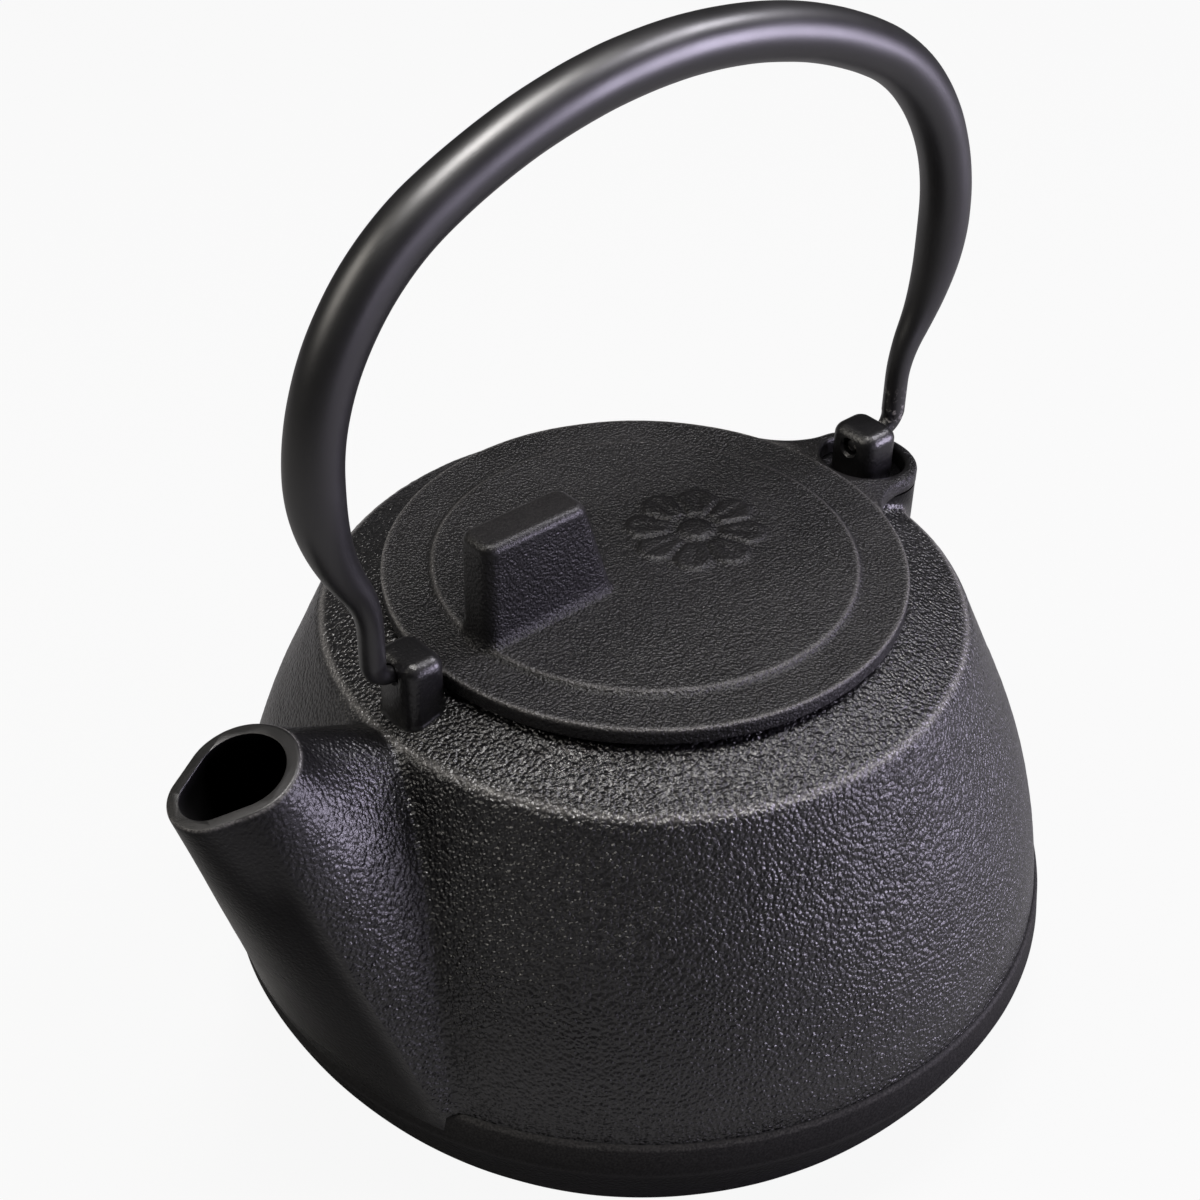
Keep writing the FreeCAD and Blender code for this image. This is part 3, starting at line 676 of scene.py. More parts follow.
def bowl_hollow():
    """Inside of the bowl, from its floor to the band."""
    band = (BAND_RADIUS - WALL, BAND_HEIGHT + WALL / 2)
    return [(0, FLOOR)] + arc((FOOT_RADIUS - WALL, FLOOR), band, FOOT_CURVE) + [band]


def hollow_outline():
    """Inside of the pot, from its floor to the ledge in the mouth."""
    side = (SIDE_RADIUS - WALL, SIDE_HEIGHT)
    belly = (BELLY_RADIUS - WALL, BELLY_HEIGHT - WALL / 2)
    return (bowl_hollow() + arc(side, belly, SIDE_CURVE)
            + [belly, (SHOULDER_RADIUS - WALL / 2, SHOULDER_HEIGHT - 1.5 * WALL),
               (MOUTH_RADIUS, LEDGE_HEIGHT - LEDGE_THICKNESS), (MOUTH_RADIUS, LEDGE_HEIGHT),
               (LEDGE_RADIUS, LEDGE_HEIGHT)])


def mouth_place(u, v, rise=0.0):
    """Place on the spout's mouth plane, or above it."""
    return (-SPOUT_REACH + u * math.cos(SPOUT_TILT) - rise * math.sin(SPOUT_TILT), v,
            SPOUT_HEIGHT + u * math.sin(SPOUT_TILT) + rise * math.cos(SPOUT_TILT))


MOUTH = np.array(mouth_place(0, 0))
ARC_STEPS, FLANK_STEPS, FOOT_STEPS = 40, 66, 64


def closed_loop(half, front):
    """Loop from a half outline, a front without its end, and the half outline again on the other side."""
    last = (half[-1][0], -half[-1][1])
    return half[:-1] + front + [last] + [(u, -v) for u, v in reversed(half[1:-1])]


def mouth_loop(inset):
    """Egg-shaped edge of the spout's mouth, from its heel round by the left."""
    heel, lip = MOUTH_HEEL - inset, MOUTH_LIP - inset
    side = math.degrees(math.acos(-MOUTH_LEAN))
    heel_end = (heel * math.cos(math.radians(side)), heel * math.sin(math.radians(side)))
    half = round_arc((0, 0), heel, 0, side, FLANK_STEPS) + [heel_end]
    front = round_arc((-MOUTH_LENGTH, 0), lip, side, 360 - side, ARC_STEPS)
    front = [heel_end] + front + [(front[0][0], -front[0][1]), (heel_end[0], -heel_end[1])]
    return [Vector(mouth_place(u, v)) for u, v in closed_loop(half, even(front, FOOT_STEPS))]


def root_loop(inset, sink):
    """Edge where the spout starts inside the pot: crown tangent to bulging flanks, foot bulging down."""
    foot = Vector((-(ROOT_FOOT[0] - sink), ROOT_FOOT[1] + inset))
    up = Vector((-(ROOT_TOP[0] - sink), ROOT_TOP[1] - sink)) - foot
    crown, wide, bulge = ROOT_CROWN - inset, ROOT_HALF - inset, ROOT_FOOT_CURVE - inset
    knee = up.length - crown
    swing, span = SIDE_CURVE - crown, math.hypot(knee, wide)
    bend = math.acos((swing ** 2 + span ** 2 - SIDE_CURVE ** 2) / (2 * swing * span))
    turn = bend - math.atan2(wide, knee)
    shoulder = (knee + crown * math.cos(turn), crown * math.sin(turn))
    half = round_arc((knee, 0), crown, 0, math.degrees(turn), ARC_STEPS)
    half += arc(shoulder, (0, wide), SIDE_CURVE, ARC_STEPS) + [(0, wide)]
    half = even(half, FLANK_STEPS) + [(0, wide)]
    spread = math.degrees(math.asin(wide / bulge))
    front = round_arc((math.sqrt(bulge ** 2 - wide ** 2), 0), bulge, 180 - spread, 180 + spread, FOOT_STEPS)
    way = up.normalized()
    return [Vector((foot.x + u * way.x, v, foot.y + u * way.y)) for u, v in closed_loop(half, front)]


# Steps of the lip's rounding, and a tool's run past the mouth as a share of the spout's length
LIP_STEPS = 6
MOUTH_OVERRUN = 0.12


def spout_solid(name, inset, sink, rows, lip):
    """Straight-sided tube from the spout's mouth to its root. A lip above 0 rounds its end; one below 0
    flares it and runs it on past the mouth, as a cutting tool needs."""
    root = root_loop(inset, sink)
    start = abs(lip) / (Vector(MOUTH) - root[0]).length
    rings = [(-MOUTH_OVERRUN, lip)] if lip < 0 else []
    for turn in quarter_turns(LIP_STEPS)[:-1]:
        rings.append((start * (1 - math.cos(turn)), lip * (1 - math.sin(turn))))
    rings += [(start + (1 - start) * row / rows, 0) for row in range(rows + 1)]
    return skin(name, [[a.lerp(b, t) for a, b in zip(mouth_loop(inset + shy), root)] for t, shy in rings])


# Line that the spout's underside stays inside: reach past the band's edge, height over it
UNDERSIDE_INSET = 0.4
UNDERSIDE = ((-UNDERSIDE_INSET, 0), (-0.23, 2), (-0.23, 5.5), (0.05, 6.5), (1.2, 8), (3.6, 11), (40, 60),
             (40, POT_HEIGHT))
# Boxes that take the corners off the spout's root below the lip
CORNER_TRIM, CORNER_SPARE, CORNER_ROUND = 4, 22, 1
CORNER_FRONT, CORNER_BACK, CORNER_BOTTOM = -100, -50, 10


def spout_limit():
    """Space the spout keeps to, so that its underside runs into the band and the foot's curve."""
    foot = [(radius - UNDERSIDE_INSET, height) for radius, height in foot_arc()]
    rise = [(BAND_RADIUS + reach, BAND_HEIGHT + height) for reach, height in UNDERSIDE]
    return [(0, 0)] + foot + rise + [(0, BAND_HEIGHT + POT_HEIGHT)]


def make_spout_form():
    """Spout within its limit, with the root's corners taken off."""
    spout = spout_solid("spout_form", inset=0, sink=0, rows=90, lip=SPOUT_LIP)
    limit = lathe("limit_form", spout_limit(), steps=240)
    boolean(spout, limit, "INTERSECT")
    discard(limit)
    near, far = ROOT_HALF - CORNER_TRIM, ROOT_HALF + CORNER_SPARE
    for low, high in ((near, far), (-far, -near)):
        loops = [rounded_box_loop((CORNER_FRONT, low), (CORNER_BACK, high), CORNER_ROUND, level)
                 for level in (CORNER_BOTTOM, LIP_HEIGHT)]
        corner = skin("corner_form", loops)
        boolean(spout, corner, "DIFFERENCE")
        discard(corner)
    return spout


BOSS_SINK = 4
BOSS_ROWS = 25


def boss_top(x, y):
    """Underside of the lid's lobe less its clearance."""
    return LID_BASE - LID_GAP - LOBE_SLOPE * (x - lobe_start())


def make_boss_form():
    """Round boss below the lid's lobe, from inside the belly up."""
    base = BELLY_HEIGHT - BOSS_SINK
    circle = round_arc((REAR_LUG, 0), LOBE_RADIUS, 0, 360, steps=80)
    loops = []
    for share in np.linspace(0, 1, BOSS_ROWS):
        loops.append([(x, y, base + share * (boss_top(x, y) - BELLY_HEIGHT + BOSS_SINK)) for x, y in circle])
    return skin("boss_form", loops)


# Upper pot's skin: sizes in millimetres, the rest as shares
SIDE_SINK, SIDE_ROUND, SIDE_GAP = 0.7, 1.0, 0.9
SPOUT_CREASE, BOSS_CREASE, CREASE_LEAST, CREASE_ROUNDS = 2.2, 1.6, 0.05, 24
SMOOTH_GRAIN, FLANK_GRAIN, FLANK_GAIN, GRAIN_ROUNDS = 0.12, 0.3, 0.5, 10
MOUTH_SMOOTH, MOUTH_FADE = 10, 30
SIDE_PEBBLE, SIDE_RELIEF, LEVEL_RELIEF = 2.1, 0.05, 0.06
SIDE_WAVE, SIDE_WAVE_HEIGHT = 26, 0.12
# Painted highlight along the shoulder's edge and along the spout mouth's outer edge; painted glints on the
# pebble tops
EDGE_SHIFT, EDGE_WIDTH, EDGE_HIGHLIGHT = 0.5, 0.7, 0.7
BRIM_SINK, BRIM_WIDTH, BRIM_HIGHLIGHT = 0.2, 0.3, 0.6
PEBBLE_GLINT = 0.1
# Laps over the lower pot, and the hollow's run past the top
BAND_LAP, LIP_LAP, HOLLOW_RISE = 0.2, 0.75, 6
# Places of the ground edge and the inside in the upper pot's list of materials
GROUND_PLACE, INSIDE_PLACE = 1, 2


def make_body_form():
    """Solid inside the rough side and the shoulder."""
    sunk = LIP_HEIGHT - SIDE_SINK
    outside = soften([(0, sunk), (SIDE_RADIUS, sunk)] + side_outline() + [(0, POT_HEIGHT)], SIDE_ROUND)
    return lathe("body_form", fill(outside[:-1], SIDE_GAP) + outside[-1:], steps=480)


def upper_grain(pot, places, normals, on_spout, on_boss):
    """Coarse on side and shoulder, finer on the spout's flanks, smooth below it and on the boss."""
    flank = 1 - step_up(0.58, 0.82, -normals[:, 0])
    flank *= step_up(LIP_HEIGHT - 0.5, LIP_HEIGHT + 1.5, places[:, 2])
    along = step_up(0, MOUTH_FADE, np.linalg.norm(places - MOUTH, axis=1) - MOUTH_SMOOTH)
    flank_grain = np.maximum(SMOOTH_GRAIN, flank * (FLANK_GRAIN + FLANK_GAIN * along))
    grain = np.where(on_boss, SMOOTH_GRAIN, np.where(on_spout, flank_grain, 1.0))
    for turn in range(GRAIN_ROUNDS):
        grain = neighbour_mean(pot, grain)
    return grain


def make_pot_upper():
    """Rough side, shoulder, boss and spout in one hollow skin."""
    forms = [make_body_form(), make_spout_form(), make_boss_form()]
    pot = merge("pot_upper", forms)
    places = points_of(pot)
    to_body, to_spout, to_boss = (distances(places, form) for form in forms)
    crease = np.maximum(bell(to_body + to_spout, SPOUT_CREASE), bell(to_body + to_boss, BOSS_CREASE))
    relax(pot, np.where(crease > CREASE_LEAST, crease, 0), CREASE_ROUNDS)
    for form in forms:
        discard(form)

    places, normals = points_of(pot), normals_of(pot)
    x, y, height = places.T
    on_spout = (to_spout < to_body) & (x < 0)
    on_boss = (to_boss < to_body) & (x > 0)
    grain = upper_grain(pot, places, normals, on_spout, on_boss)
    relief = pebbles(places, SIDE_PEBBLE)
    level = step_up(0.5, 0.9, normals[:, 2]) * (1 - on_spout)
    coarse = relief * grain * (SIDE_RELIEF + LEVEL_RELIEF * level)
    moved = places + normals * (coarse + waves(places, SIDE_WAVE) * SIDE_WAVE_HEIGHT)[:, None]
    # Lighter vertex mark: painted highlights on the shoulder's edge and the mouth's outer edge, and painted
    # glints on the pebble tops
    edge = np.hypot(np.hypot(x, y) - SHOULDER_RADIUS - EDGE_SHIFT, height - SHOULDER_HEIGHT + EDGE_SHIFT)
    facing = np.array(mouth_place(0, 0, 1)) - MOUTH
    brim = on_spout * bell((places - MOUTH) @ facing + BRIM_SINK, BRIM_WIDTH)
    wear = np.maximum(bell(edge, EDGE_WIDTH) * EDGE_HIGHLIGHT, brim * BRIM_HIGHLIGHT)
    wear += np.clip(relief, 0, 1) * PEBBLE_GLINT * grain
    move_points(pot, moved)
    store(pot, grain=grain, wear=np.clip(wear, 0, 1))
    paint(pot, POT_IRON, GROUND, ENAMEL)

    lap, top = LIP_HEIGHT - LIP_LAP, POT_HEIGHT + HOLLOW_RISE
    lower = [(0, 0)] + foot_arc() + [(BAND_RADIUS, BAND_HEIGHT), (LIP_RADIUS, lap), (0, lap)]
    lower = [(max(0, radius - BAND_LAP), height) for radius, height in lower]
    cut(pot, lathe("lower_tool", lower, steps=240))
    channel = spout_solid("channel_tool", SPOUT_WALL, WALL + SPOUT_WALL, rows=12, lip=-SPOUT_FLARE)
    cut(pot, channel, INSIDE_PLACE)
    hollow = hollow_outline() + [(LEDGE_RADIUS, top), (0, top)]
    cut(pot, lathe("hollow_tool", hollow, steps=180), INSIDE_PLACE)
    for polygon in pot.data.polygons:
        rise = (polygon.center / MM - Vector(MOUTH)).dot(facing)
        if rise > -SPOUT_LIP and polygon.normal.dot(facing) > 0.8:
            polygon.material_index = GROUND_PLACE
    shade_smooth(pot)
    return pot


# Lower pot's skin: sizes in millimetres, grain and painted highlight as shares
BAND_ROUND = 0.5
FOOT_GRAIN, FOOT_FADE = 0.5, 3
# Painted highlights along the lip and along the band's lower edge
BAND_HIGHLIGHT, LIP_WIDTH, BAND_WIDTH, BAND_SHARE = 0.7, 0.7, 0.8, 0.5
BOWL_WAVE, BOWL_WAVE_HEIGHT, BOWL_WAVE_START = 30, 0.1, 3


def make_pot_lower():
    """Smooth band with its lip, curved foot and the bowl's inside."""
    outline = [(0, 0), (FOOT_RADIUS, 0)] + foot_arc(steps=40)[1:]
    outline += [(BAND_RADIUS, BAND_HEIGHT), (LIP_RADIUS, LIP_HEIGHT), (SIDE_RADIUS, SIDE_HEIGHT),
                (SIDE_RADIUS - WALL, SIDE_HEIGHT)]
    bowl = lathe("pot_lower", soften(outline, BAND_ROUND) + bowl_hollow()[::-1], steps=400)
    places, normals = points_of(bowl), normals_of(bowl)
    x, y, height = places.T
    outside = (normals[:, 2] < 0.9) & (np.hypot(x, y) > FOOT_RADIUS - 2)
    curve = 1 - step_up(BAND_HEIGHT - FOOT_FADE, BAND_HEIGHT, height)
    grain = np.where(outside, SMOOTH_GRAIN + FOOT_GRAIN * curve, 0.0)
    # Painted highlights on the lip and the band's lower edge, in the vertex mark that lightens the colour
    lip = bell(height - LIP_HEIGHT, LIP_WIDTH)
    edge = bell(height - BAND_HEIGHT, BAND_WIDTH) * BAND_SHARE
    store(bowl, grain=grain, wear=np.where(outside, np.maximum(lip, edge) * BAND_HIGHLIGHT, 0))
    above = step_up(0, BOWL_WAVE_START, height)
    uneven = waves(places, BOWL_WAVE) * BOWL_WAVE_HEIGHT * outside * above
    move_points(bowl, places + normals * uneven[:, None])
    paint(bowl, BOWL_IRON, ENAMEL)
    for polygon in bowl.data.polygons:
        x, y, z = polygon.center / MM
        inward = polygon.normal.x * x + polygon.normal.y * y < -1e-6 or polygon.normal.z > 0.95
        polygon.material_index = 1 if inward and z < SIDE_HEIGHT - 0.2 else 0
    shade_smooth(bowl)
    return bowl


# Lugs: sizes in millimetres, grain and the lighter crown (rubbing and painted highlight) as shares

LUG_ROOT, LUG_FOOT_RISE, LUG_LEAST_ROUND = 3, 1.3, 0.4
LUG_STEPS = 8
EYE_OVERRUN, EYE_CLEAR = 12, 0.05
# Lighter crown edges on the posts: partly rubbing, partly painted highlight
LUG_GRAIN, LUG_WEAR_AND_HIGHLIGHT = 0.1, 0.12


def make_lug(name, centre, half, top, ground):
    """Square post with a crowned top and a softly spread foot, drilled along X."""
    loops = []

    def ring(grow, height):
        radius = max(LUG_ROUND + grow, LUG_LEAST_ROUND)
        loops.append(rounded_box_loop((centre - half[0] - grow, -half[1] - grow),
                                      (centre + half[0] + grow, half[1] + grow), radius, height))

    for drop in (LUG_ROOT, LUG_SINK):
        ring(LUG_FOOT, lambda x, y, drop=drop: ground(x, y) - drop)
    for turn in quarter_turns(LUG_STEPS)[1:]:
        rise = LUG_FOOT * LUG_FOOT_RISE * (1 - math.cos(turn)) - LUG_SINK
        ring(LUG_FOOT * (1 - math.sin(turn)), lambda x, y, rise=rise: ground(x, y) + rise)
    for share in (0.25, 0.5, 0.75):
        ring(0, lambda x, y, share=share: (1 - share) * (ground(x, y) + rise) + share * (top - LUG_CROWN))
    for turn in quarter_turns(LUG_STEPS):
        ring(-LUG_CROWN * (1 - math.cos(turn)), top - LUG_CROWN * (1 - math.sin(turn)))
    lug = skin(name, loops, LUG_IRON)
    face, inner = half[0] + EYE_CLEAR, half[0] - EYE_BEVEL
    loops = []
    for reach, grow in ((-EYE_OVERRUN, EYE_BEVEL), (-face, EYE_BEVEL), (-inner, 0),
                        (inner, 0), (face, EYE_BEVEL), (EYE_OVERRUN, EYE_BEVEL)):
        eye = round_arc((0, EYE_LEVEL), EYE_RADIUS + grow, 0, 360, steps=40)
        loops.append([(centre + reach, y, z) for y, z in eye])
    cut(lug, skin("eye_tool", loops))
    x, y, height = points_of(lug).T
    # Lighter round the crown's edges: partly rubbing, partly painted highlight
    crown = step_up(top - 1.6, top - 0.6, height)
    rim = np.maximum(np.abs(x - centre) - half[0], np.abs(y) - half[1])
    store(lug, grain=np.full(len(x), LUG_GRAIN), wear=LUG_WEAR_AND_HIGHLIGHT * crown * step_up(-1.8, -0.6, rim))
    shade_smooth(lug, 35)
    return lug


def shoulder_level(x, y):
    """Height of the sloped shoulder."""
    share = (SHOULDER_RADIUS - math.hypot(x, y)) / (SHOULDER_RADIUS - SEAT_RADIUS)
    return SHOULDER_HEIGHT + share * (POT_HEIGHT - SHOULDER_HEIGHT)


# Lid

def lobe_fillet_centre():
    y = LOBE_RADIUS + LOBE_FILLET
    return math.sqrt((LID_RADIUS + LOBE_FILLET) ** 2 - y * y), y


def lobe_start():
    """Where the lobe's fillet leaves the lid's edge, along X."""
    return lobe_fillet_centre()[0] * LID_RADIUS / (LID_RADIUS + LOBE_FILLET)


def sloped(outline, level):
    """Loop at a level of the lid's edge that slopes down with the lobe."""
    return [(x, y, level - LOBE_SLOPE * max(0, x - lobe_start())) for x, y in outline]


def shrink(outline, inset):
    """Closed clockwise outline moved inwards."""
    result = []
    for k, (x, y) in enumerate(outline):
        before, after = outline[k - 1], outline[(k + 1) % len(outline)]
        way = Vector((after[0] - before[0], after[1] - before[1])).normalized()
        result.append((x + inset * way.y, y - inset * way.x))
    return result


# Lobe's reach into the disc and its tuck there; inset and level of its rounded edge, from below
LOBE_ROOT, LOBE_TUCK = 12, 2
LOBE_EDGE = ((0.15, LID_BASE + 0.05), (0, LID_BASE + 0.2), (0, LID_EDGE - 0.95), (0.14, LID_EDGE - 0.5),
             (0.4, LID_EDGE - 0.2), (0.9, LID_EDGE - 0.05))


def make_lobe():
    """Sloped tab round the rear lug, blended into the lid's edge."""
    centre = lobe_fillet_centre()
    turn = math.degrees(math.atan2(-centre[1], -centre[0])) % 360
    half = round_arc(centre, LOBE_FILLET, turn, 270, 20)
    rest = round_arc((centre[0], 0), LOBE_RADIUS, 90, -90, 48)
    outline = half + rest + [(x, -y) for x, y in reversed(half)]
    root, wide = lobe_start() - LOBE_ROOT, half[0][1] - LOBE_TUCK
    outline += [(root, -wide), (root, wide)]
    return skin("lobe_form", [sloped(shrink(outline, inset), level) for inset, level in LOBE_EDGE])


def lid_level(x, y):
    """Height of the lid's face, lower outside its raised middle."""
    lowered = float(step_up(RAISED_RADIUS, RAISED_RADIUS + RAISED_EASE, math.hypot(x, y)))
    return LID_FACE - (LID_FACE - LID_EDGE) * lowered


def make_fin():
    """Upright knob with a slanted back and a spread foot."""
    loops = []
    base = LID_FACE + FIN_ROOT

    def ring(grow, height, follow=0):
        share = (height - base) / (FIN_TOP - base)
        back = FIN_BACK + (FIN_BACK_TOP - FIN_BACK) * max(0, share)
        loops.append(rounded_box_loop((FIN_FRONT - grow, -FIN_HALF - grow), (back + grow, FIN_HALF + grow),
                                      max(FIN_ROUND + grow, LEAST_ROUND),
                                      lambda x, y: height + follow * (lid_level(x, y) - LID_FACE)))

    ring(FIN_FOOT, LID_FACE - FIN_ROOT)
    start = LID_FACE - FIN_SINK
    for turn in quarter_turns(FIN_STEPS):
        ring(FIN_FOOT * (1 - math.sin(turn)), start + FIN_FOOT * FIN_FOOT_RISE * (1 - math.cos(turn)),
             math.cos(turn))
    foot = start + FIN_FOOT * FIN_FOOT_RISE
    for step in range(1, FIN_ROWS):
        ring(0, foot + step / FIN_ROWS * (FIN_TOP - FIN_CROWN - foot))
    for turn in quarter_turns(FIN_STEPS):
        ring(-FIN_CROWN * (1 - math.cos(turn)), FIN_TOP - FIN_CROWN * (1 - math.sin(turn)))
    return skin("fin_form", loops)


# Rosette in millimetres and shares
ROSETTE_PLACE = 13
ROSETTE_RADIUS = 14
ROSETTE_PETALS = 8
ROSETTE_HEIGHT = 0.55
ROSETTE_SMOOTH = 0.5
PETAL_ROOT, PETAL_FULL = 4.6, 5.8
PETAL_NOTCH, PETAL_GAP = 0.20, 0.9
FOLD_DEPTH, FOLD_WIDTH = 0.25, 0.7
BUTTON_TOP, BUTTON_EDGE = 2.4, 3.8


def rosette(places):
    """Low relief of plain petals round a button, from 0 to 1."""
    x, y = places[:, 0] - ROSETTE_PLACE, places[:, 1]
    radius, angle = np.hypot(x, y), np.arctan2(y, x)
    middle = np.abs(np.cos(angle * ROSETTE_PETALS / 2))
    side = np.abs(np.sin(angle * ROSETTE_PETALS / 2))
    edge = ROSETTE_RADIUS * (1 - PETAL_NOTCH + PETAL_NOTCH * middle)
    petal = (1 - step_up(-1.2, 0.2, radius - edge)) * step_up(PETAL_ROOT, PETAL_FULL, radius)
    petal *= step_up(0.0, PETAL_GAP, radius * middle * 2 / ROSETTE_PETALS)
    fold = side * radius * 2 / ROSETTE_PETALS
    button = 1 - step_up(BUTTON_TOP, BUTTON_EDGE, radius)
    return np.maximum(petal * (1 - FOLD_DEPTH * bell(fold, FOLD_WIDTH)), button)


# Lid's skin: sizes in millimetres, grain, painted highlights and the fin top's rubbing as shares
DISC_ROUND, DISC_GAP = 0.6, 0.6
LID_PEBBLE, LID_RELIEF = 1.6, 0.025
LID_WAVE, LID_WAVE_HEIGHT = 18, 0.06
UNDER_GRAIN = 0.3
FIN_GRAIN, FIN_GRAIN_LOSS = 0.7, 0.5
# Painted highlights along the rim and the raised middle's step; the fin's top lighter, partly rubbing,
# partly painted highlight
RIM_HIGHLIGHT, RIM_WIDTH, RIM_INSET = 0.6, 0.4, 0.2
STEP_HIGHLIGHT, STEP_WIDTH, STEP_INSET = 0.4, 0.45, 0.1
CROWN_WEAR_AND_HIGHLIGHT = 0.08
# Hole in the lobe: growth of its radius and its level, from below
HOLE_EDGE = ((0, LID_BASE - 8), (0, LID_EDGE - 0.7), (0.25, LID_EDGE - 0.25), (0.8, LID_EDGE + 0.1),
             (0.8, LID_EDGE + 5))


def make_lid():
    """Disc with its skirt, lobe, fin and rosette in one casting."""
    inner = SKIRT_RADIUS - SKIRT_WALL
    foot = LID_BASE - SKIRT_DEPTH
    disc = soften([(0, LID_BASE), (inner, LID_BASE), (inner, foot), (SKIRT_RADIUS, foot),
                   (SKIRT_RADIUS, LID_BASE), (LID_RADIUS, LID_BASE), (LID_RADIUS, LID_EDGE),
                   (RAISED_RADIUS + RAISED_EASE, LID_EDGE), (RAISED_RADIUS, LID_FACE), (1, LID_FACE),
                   (0, LID_FACE)], DISC_ROUND)
    disc = disc[:1] + fill(disc[1:], DISC_GAP)
    forms = [lathe("disc_form", disc, steps=400), make_lobe(), make_fin()]
    lid = merge("lid_casting", forms)
    for form in forms:
        discard(form)

    places, normals = points_of(lid), normals_of(lid)
    x, y, height = places.T
    radius = np.hypot(x, y)
    on_face = (np.abs(height - LID_FACE) < 0.05) & (radius < RAISED_RADIUS - 1)
    on_fin = height > LID_FACE + 1
    fin_grain = FIN_GRAIN - FIN_GRAIN_LOSS * step_up(FIN_TOP - 2.8, FIN_TOP - 1.4, height)
    grain = np.where(height < LID_BASE + 0.2, UNDER_GRAIN, np.where(on_fin, fin_grain, 1.0))
    coarse = pebbles(places, LID_PEBBLE) * LID_RELIEF * grain
    moved = places + normals * (coarse + waves(places, LID_WAVE) * LID_WAVE_HEIGHT)[:, None]
    flower = rosette(places) * on_face
    moved[:, 2] += flower * ROSETTE_HEIGHT
    # Painted highlights along the rim and the step, and a lighter fin top that is partly rubbing and partly
    # painted highlight
    rim = np.hypot(radius - LID_RADIUS + RIM_INSET, height - LID_EDGE + RIM_INSET)
    step = np.hypot(radius - RAISED_RADIUS - STEP_INSET, height - LID_FACE + STEP_INSET)
    edges = np.maximum(RIM_HIGHLIGHT * bell(rim, RIM_WIDTH), STEP_HIGHLIGHT * bell(step, STEP_WIDTH))
    crown = step_up(FIN_TOP - 1.2, FIN_TOP - 0.5, height)
    move_points(lid, moved)
    store(lid, grain=grain * (1 - ROSETTE_SMOOTH * flower), wear=np.maximum(edges, CROWN_WEAR_AND_HIGHLIGHT * crown))
    paint(lid, LID_IRON)
    loops = []
    for grow, level in HOLE_EDGE:
        hole = round_arc((lobe_fillet_centre()[0], 0), LOBE_RADIUS - LOBE_WALL + grow, 0, 360, steps=96)
        loops.append(sloped(hole, level))
    cut(lid, skin("hole_tool", loops))
    shade_smooth(lid)
    return lid


# Bail

QUARTER = math.radians(90)


def shares(count):
    """Equal steps from 0 towards 1, without 1."""
    return [step / count for step in range(count)]


def bail_half():
    """Line of the bail's rear half, from pin to top: distance from middle, height, heading, radius."""
    neck = LUG_FACE + HOOK_CURVE
    neck_top = HOOK_CURVE + NECK_STRAIGHT
    turn = math.acos(1 - ARM_BULGE / (NECK_CURVE + ARM_CURVE))
    arm = (neck + NECK_CURVE - (NECK_CURVE + ARM_CURVE) * math.cos(turn),
           neck_top + (NECK_CURVE + ARM_CURVE) * math.sin(turn))
    meet = math.acos(arm[0] / (ARCH_CURVE - ARM_CURVE))
    arch = arm[1] - (ARCH_CURVE - ARM_CURVE) * math.sin(meet)

    def radius_at(height):
        swell = float(step_up(neck_top, neck_top + SWELL, height))
        return NECK_RADIUS + (GRIP_RADIUS - NECK_RADIUS) * swell

    line = [(LUG_FACE - PIN_LENGTH * (1 - share), 0, 0, PIN_RADIUS) for share in shares(10)]
    for share in shares(16):
        angle = QUARTER * share
        line.append((LUG_FACE + HOOK_CURVE * math.sin(angle), HOOK_CURVE * (1 - math.cos(angle)), angle,
                     PIN_RADIUS + (NECK_RADIUS - PIN_RADIUS) * share))
    line += [(neck, HOOK_CURVE + NECK_STRAIGHT * share, QUARTER, NECK_RADIUS) for share in shares(12)]
    for share in shares(12):
        angle = turn * share
        height = neck_top + NECK_CURVE * math.sin(angle)
        line.append((neck + NECK_CURVE * (1 - math.cos(angle)), height, QUARTER - angle, radius_at(height)))
    for share in shares(70):
        angle = -turn + (meet + turn) * share
        height = arm[1] + ARM_CURVE * math.sin(angle)
        line.append((arm[0] + ARM_CURVE * math.cos(angle), height, angle + QUARTER, radius_at(height)))
    for share in shares(40) + [1]:
        angle = meet + (QUARTER - meet) * share
        line.append((ARCH_CURVE * math.cos(angle), arch + ARCH_CURVE * math.sin(angle), angle + QUARTER,
                     GRIP_RADIUS))
    return line


# Bail's skin: chips on the rear hook that end between two heights, and waves above the hooks
PIN_ROUND = 0.5
CHIP_WEAR, CHIP_START, CHIP_END, CHIP_REAR = 0.7, 3, 12, 30
ROD_WAVE, ROD_WAVE_HEIGHT, ROD_WAVE_START, ROD_WAVE_END = 24, 0.1, 5, 20


def make_bail():
    """Tapered rod with both ends hooked into the eyes."""
    half = bail_half()
    loops = []

    def ring(distance, height, heading, radius, side):
        across = Vector((-math.sin(heading), math.cos(heading)))
        loop = []
        for u, v in round_arc((0, 0), radius, 0, 360, steps=56):
            x = BAIL_MIDDLE + side * (distance + u * across.x)
            loop.append((x, v, EYE_LEVEL + height + u * across.y))
        loops.append(loop)

    pin_end = (half[0][0] - PIN_ROUND, 0, 0, PIN_RADIUS - PIN_ROUND)
    for spot in [pin_end] + half:
        ring(*spot, 1)
    for spot in half[-2::-1] + [pin_end]:
        ring(*spot, -1)
    bail = skin("bail_rod", loops, BAIL_BLACK)
    places, normals = points_of(bail), normals_of(bail)
    height = places[:, 2] - EYE_LEVEL
    rear = step_up(0, CHIP_REAR, places[:, 0])
    store(bail, wear=rear * (CHIP_WEAR - CHIP_WEAR * step_up(CHIP_START, CHIP_END, height)))
    away = step_up(ROD_WAVE_START, ROD_WAVE_END, height)
    uneven = waves(places, ROD_WAVE) * ROD_WAVE_HEIGHT * away
    move_points(bail, places + normals * uneven[:, None])
    shade_smooth(bail, 60)
    return bail


# Stage, light and camera

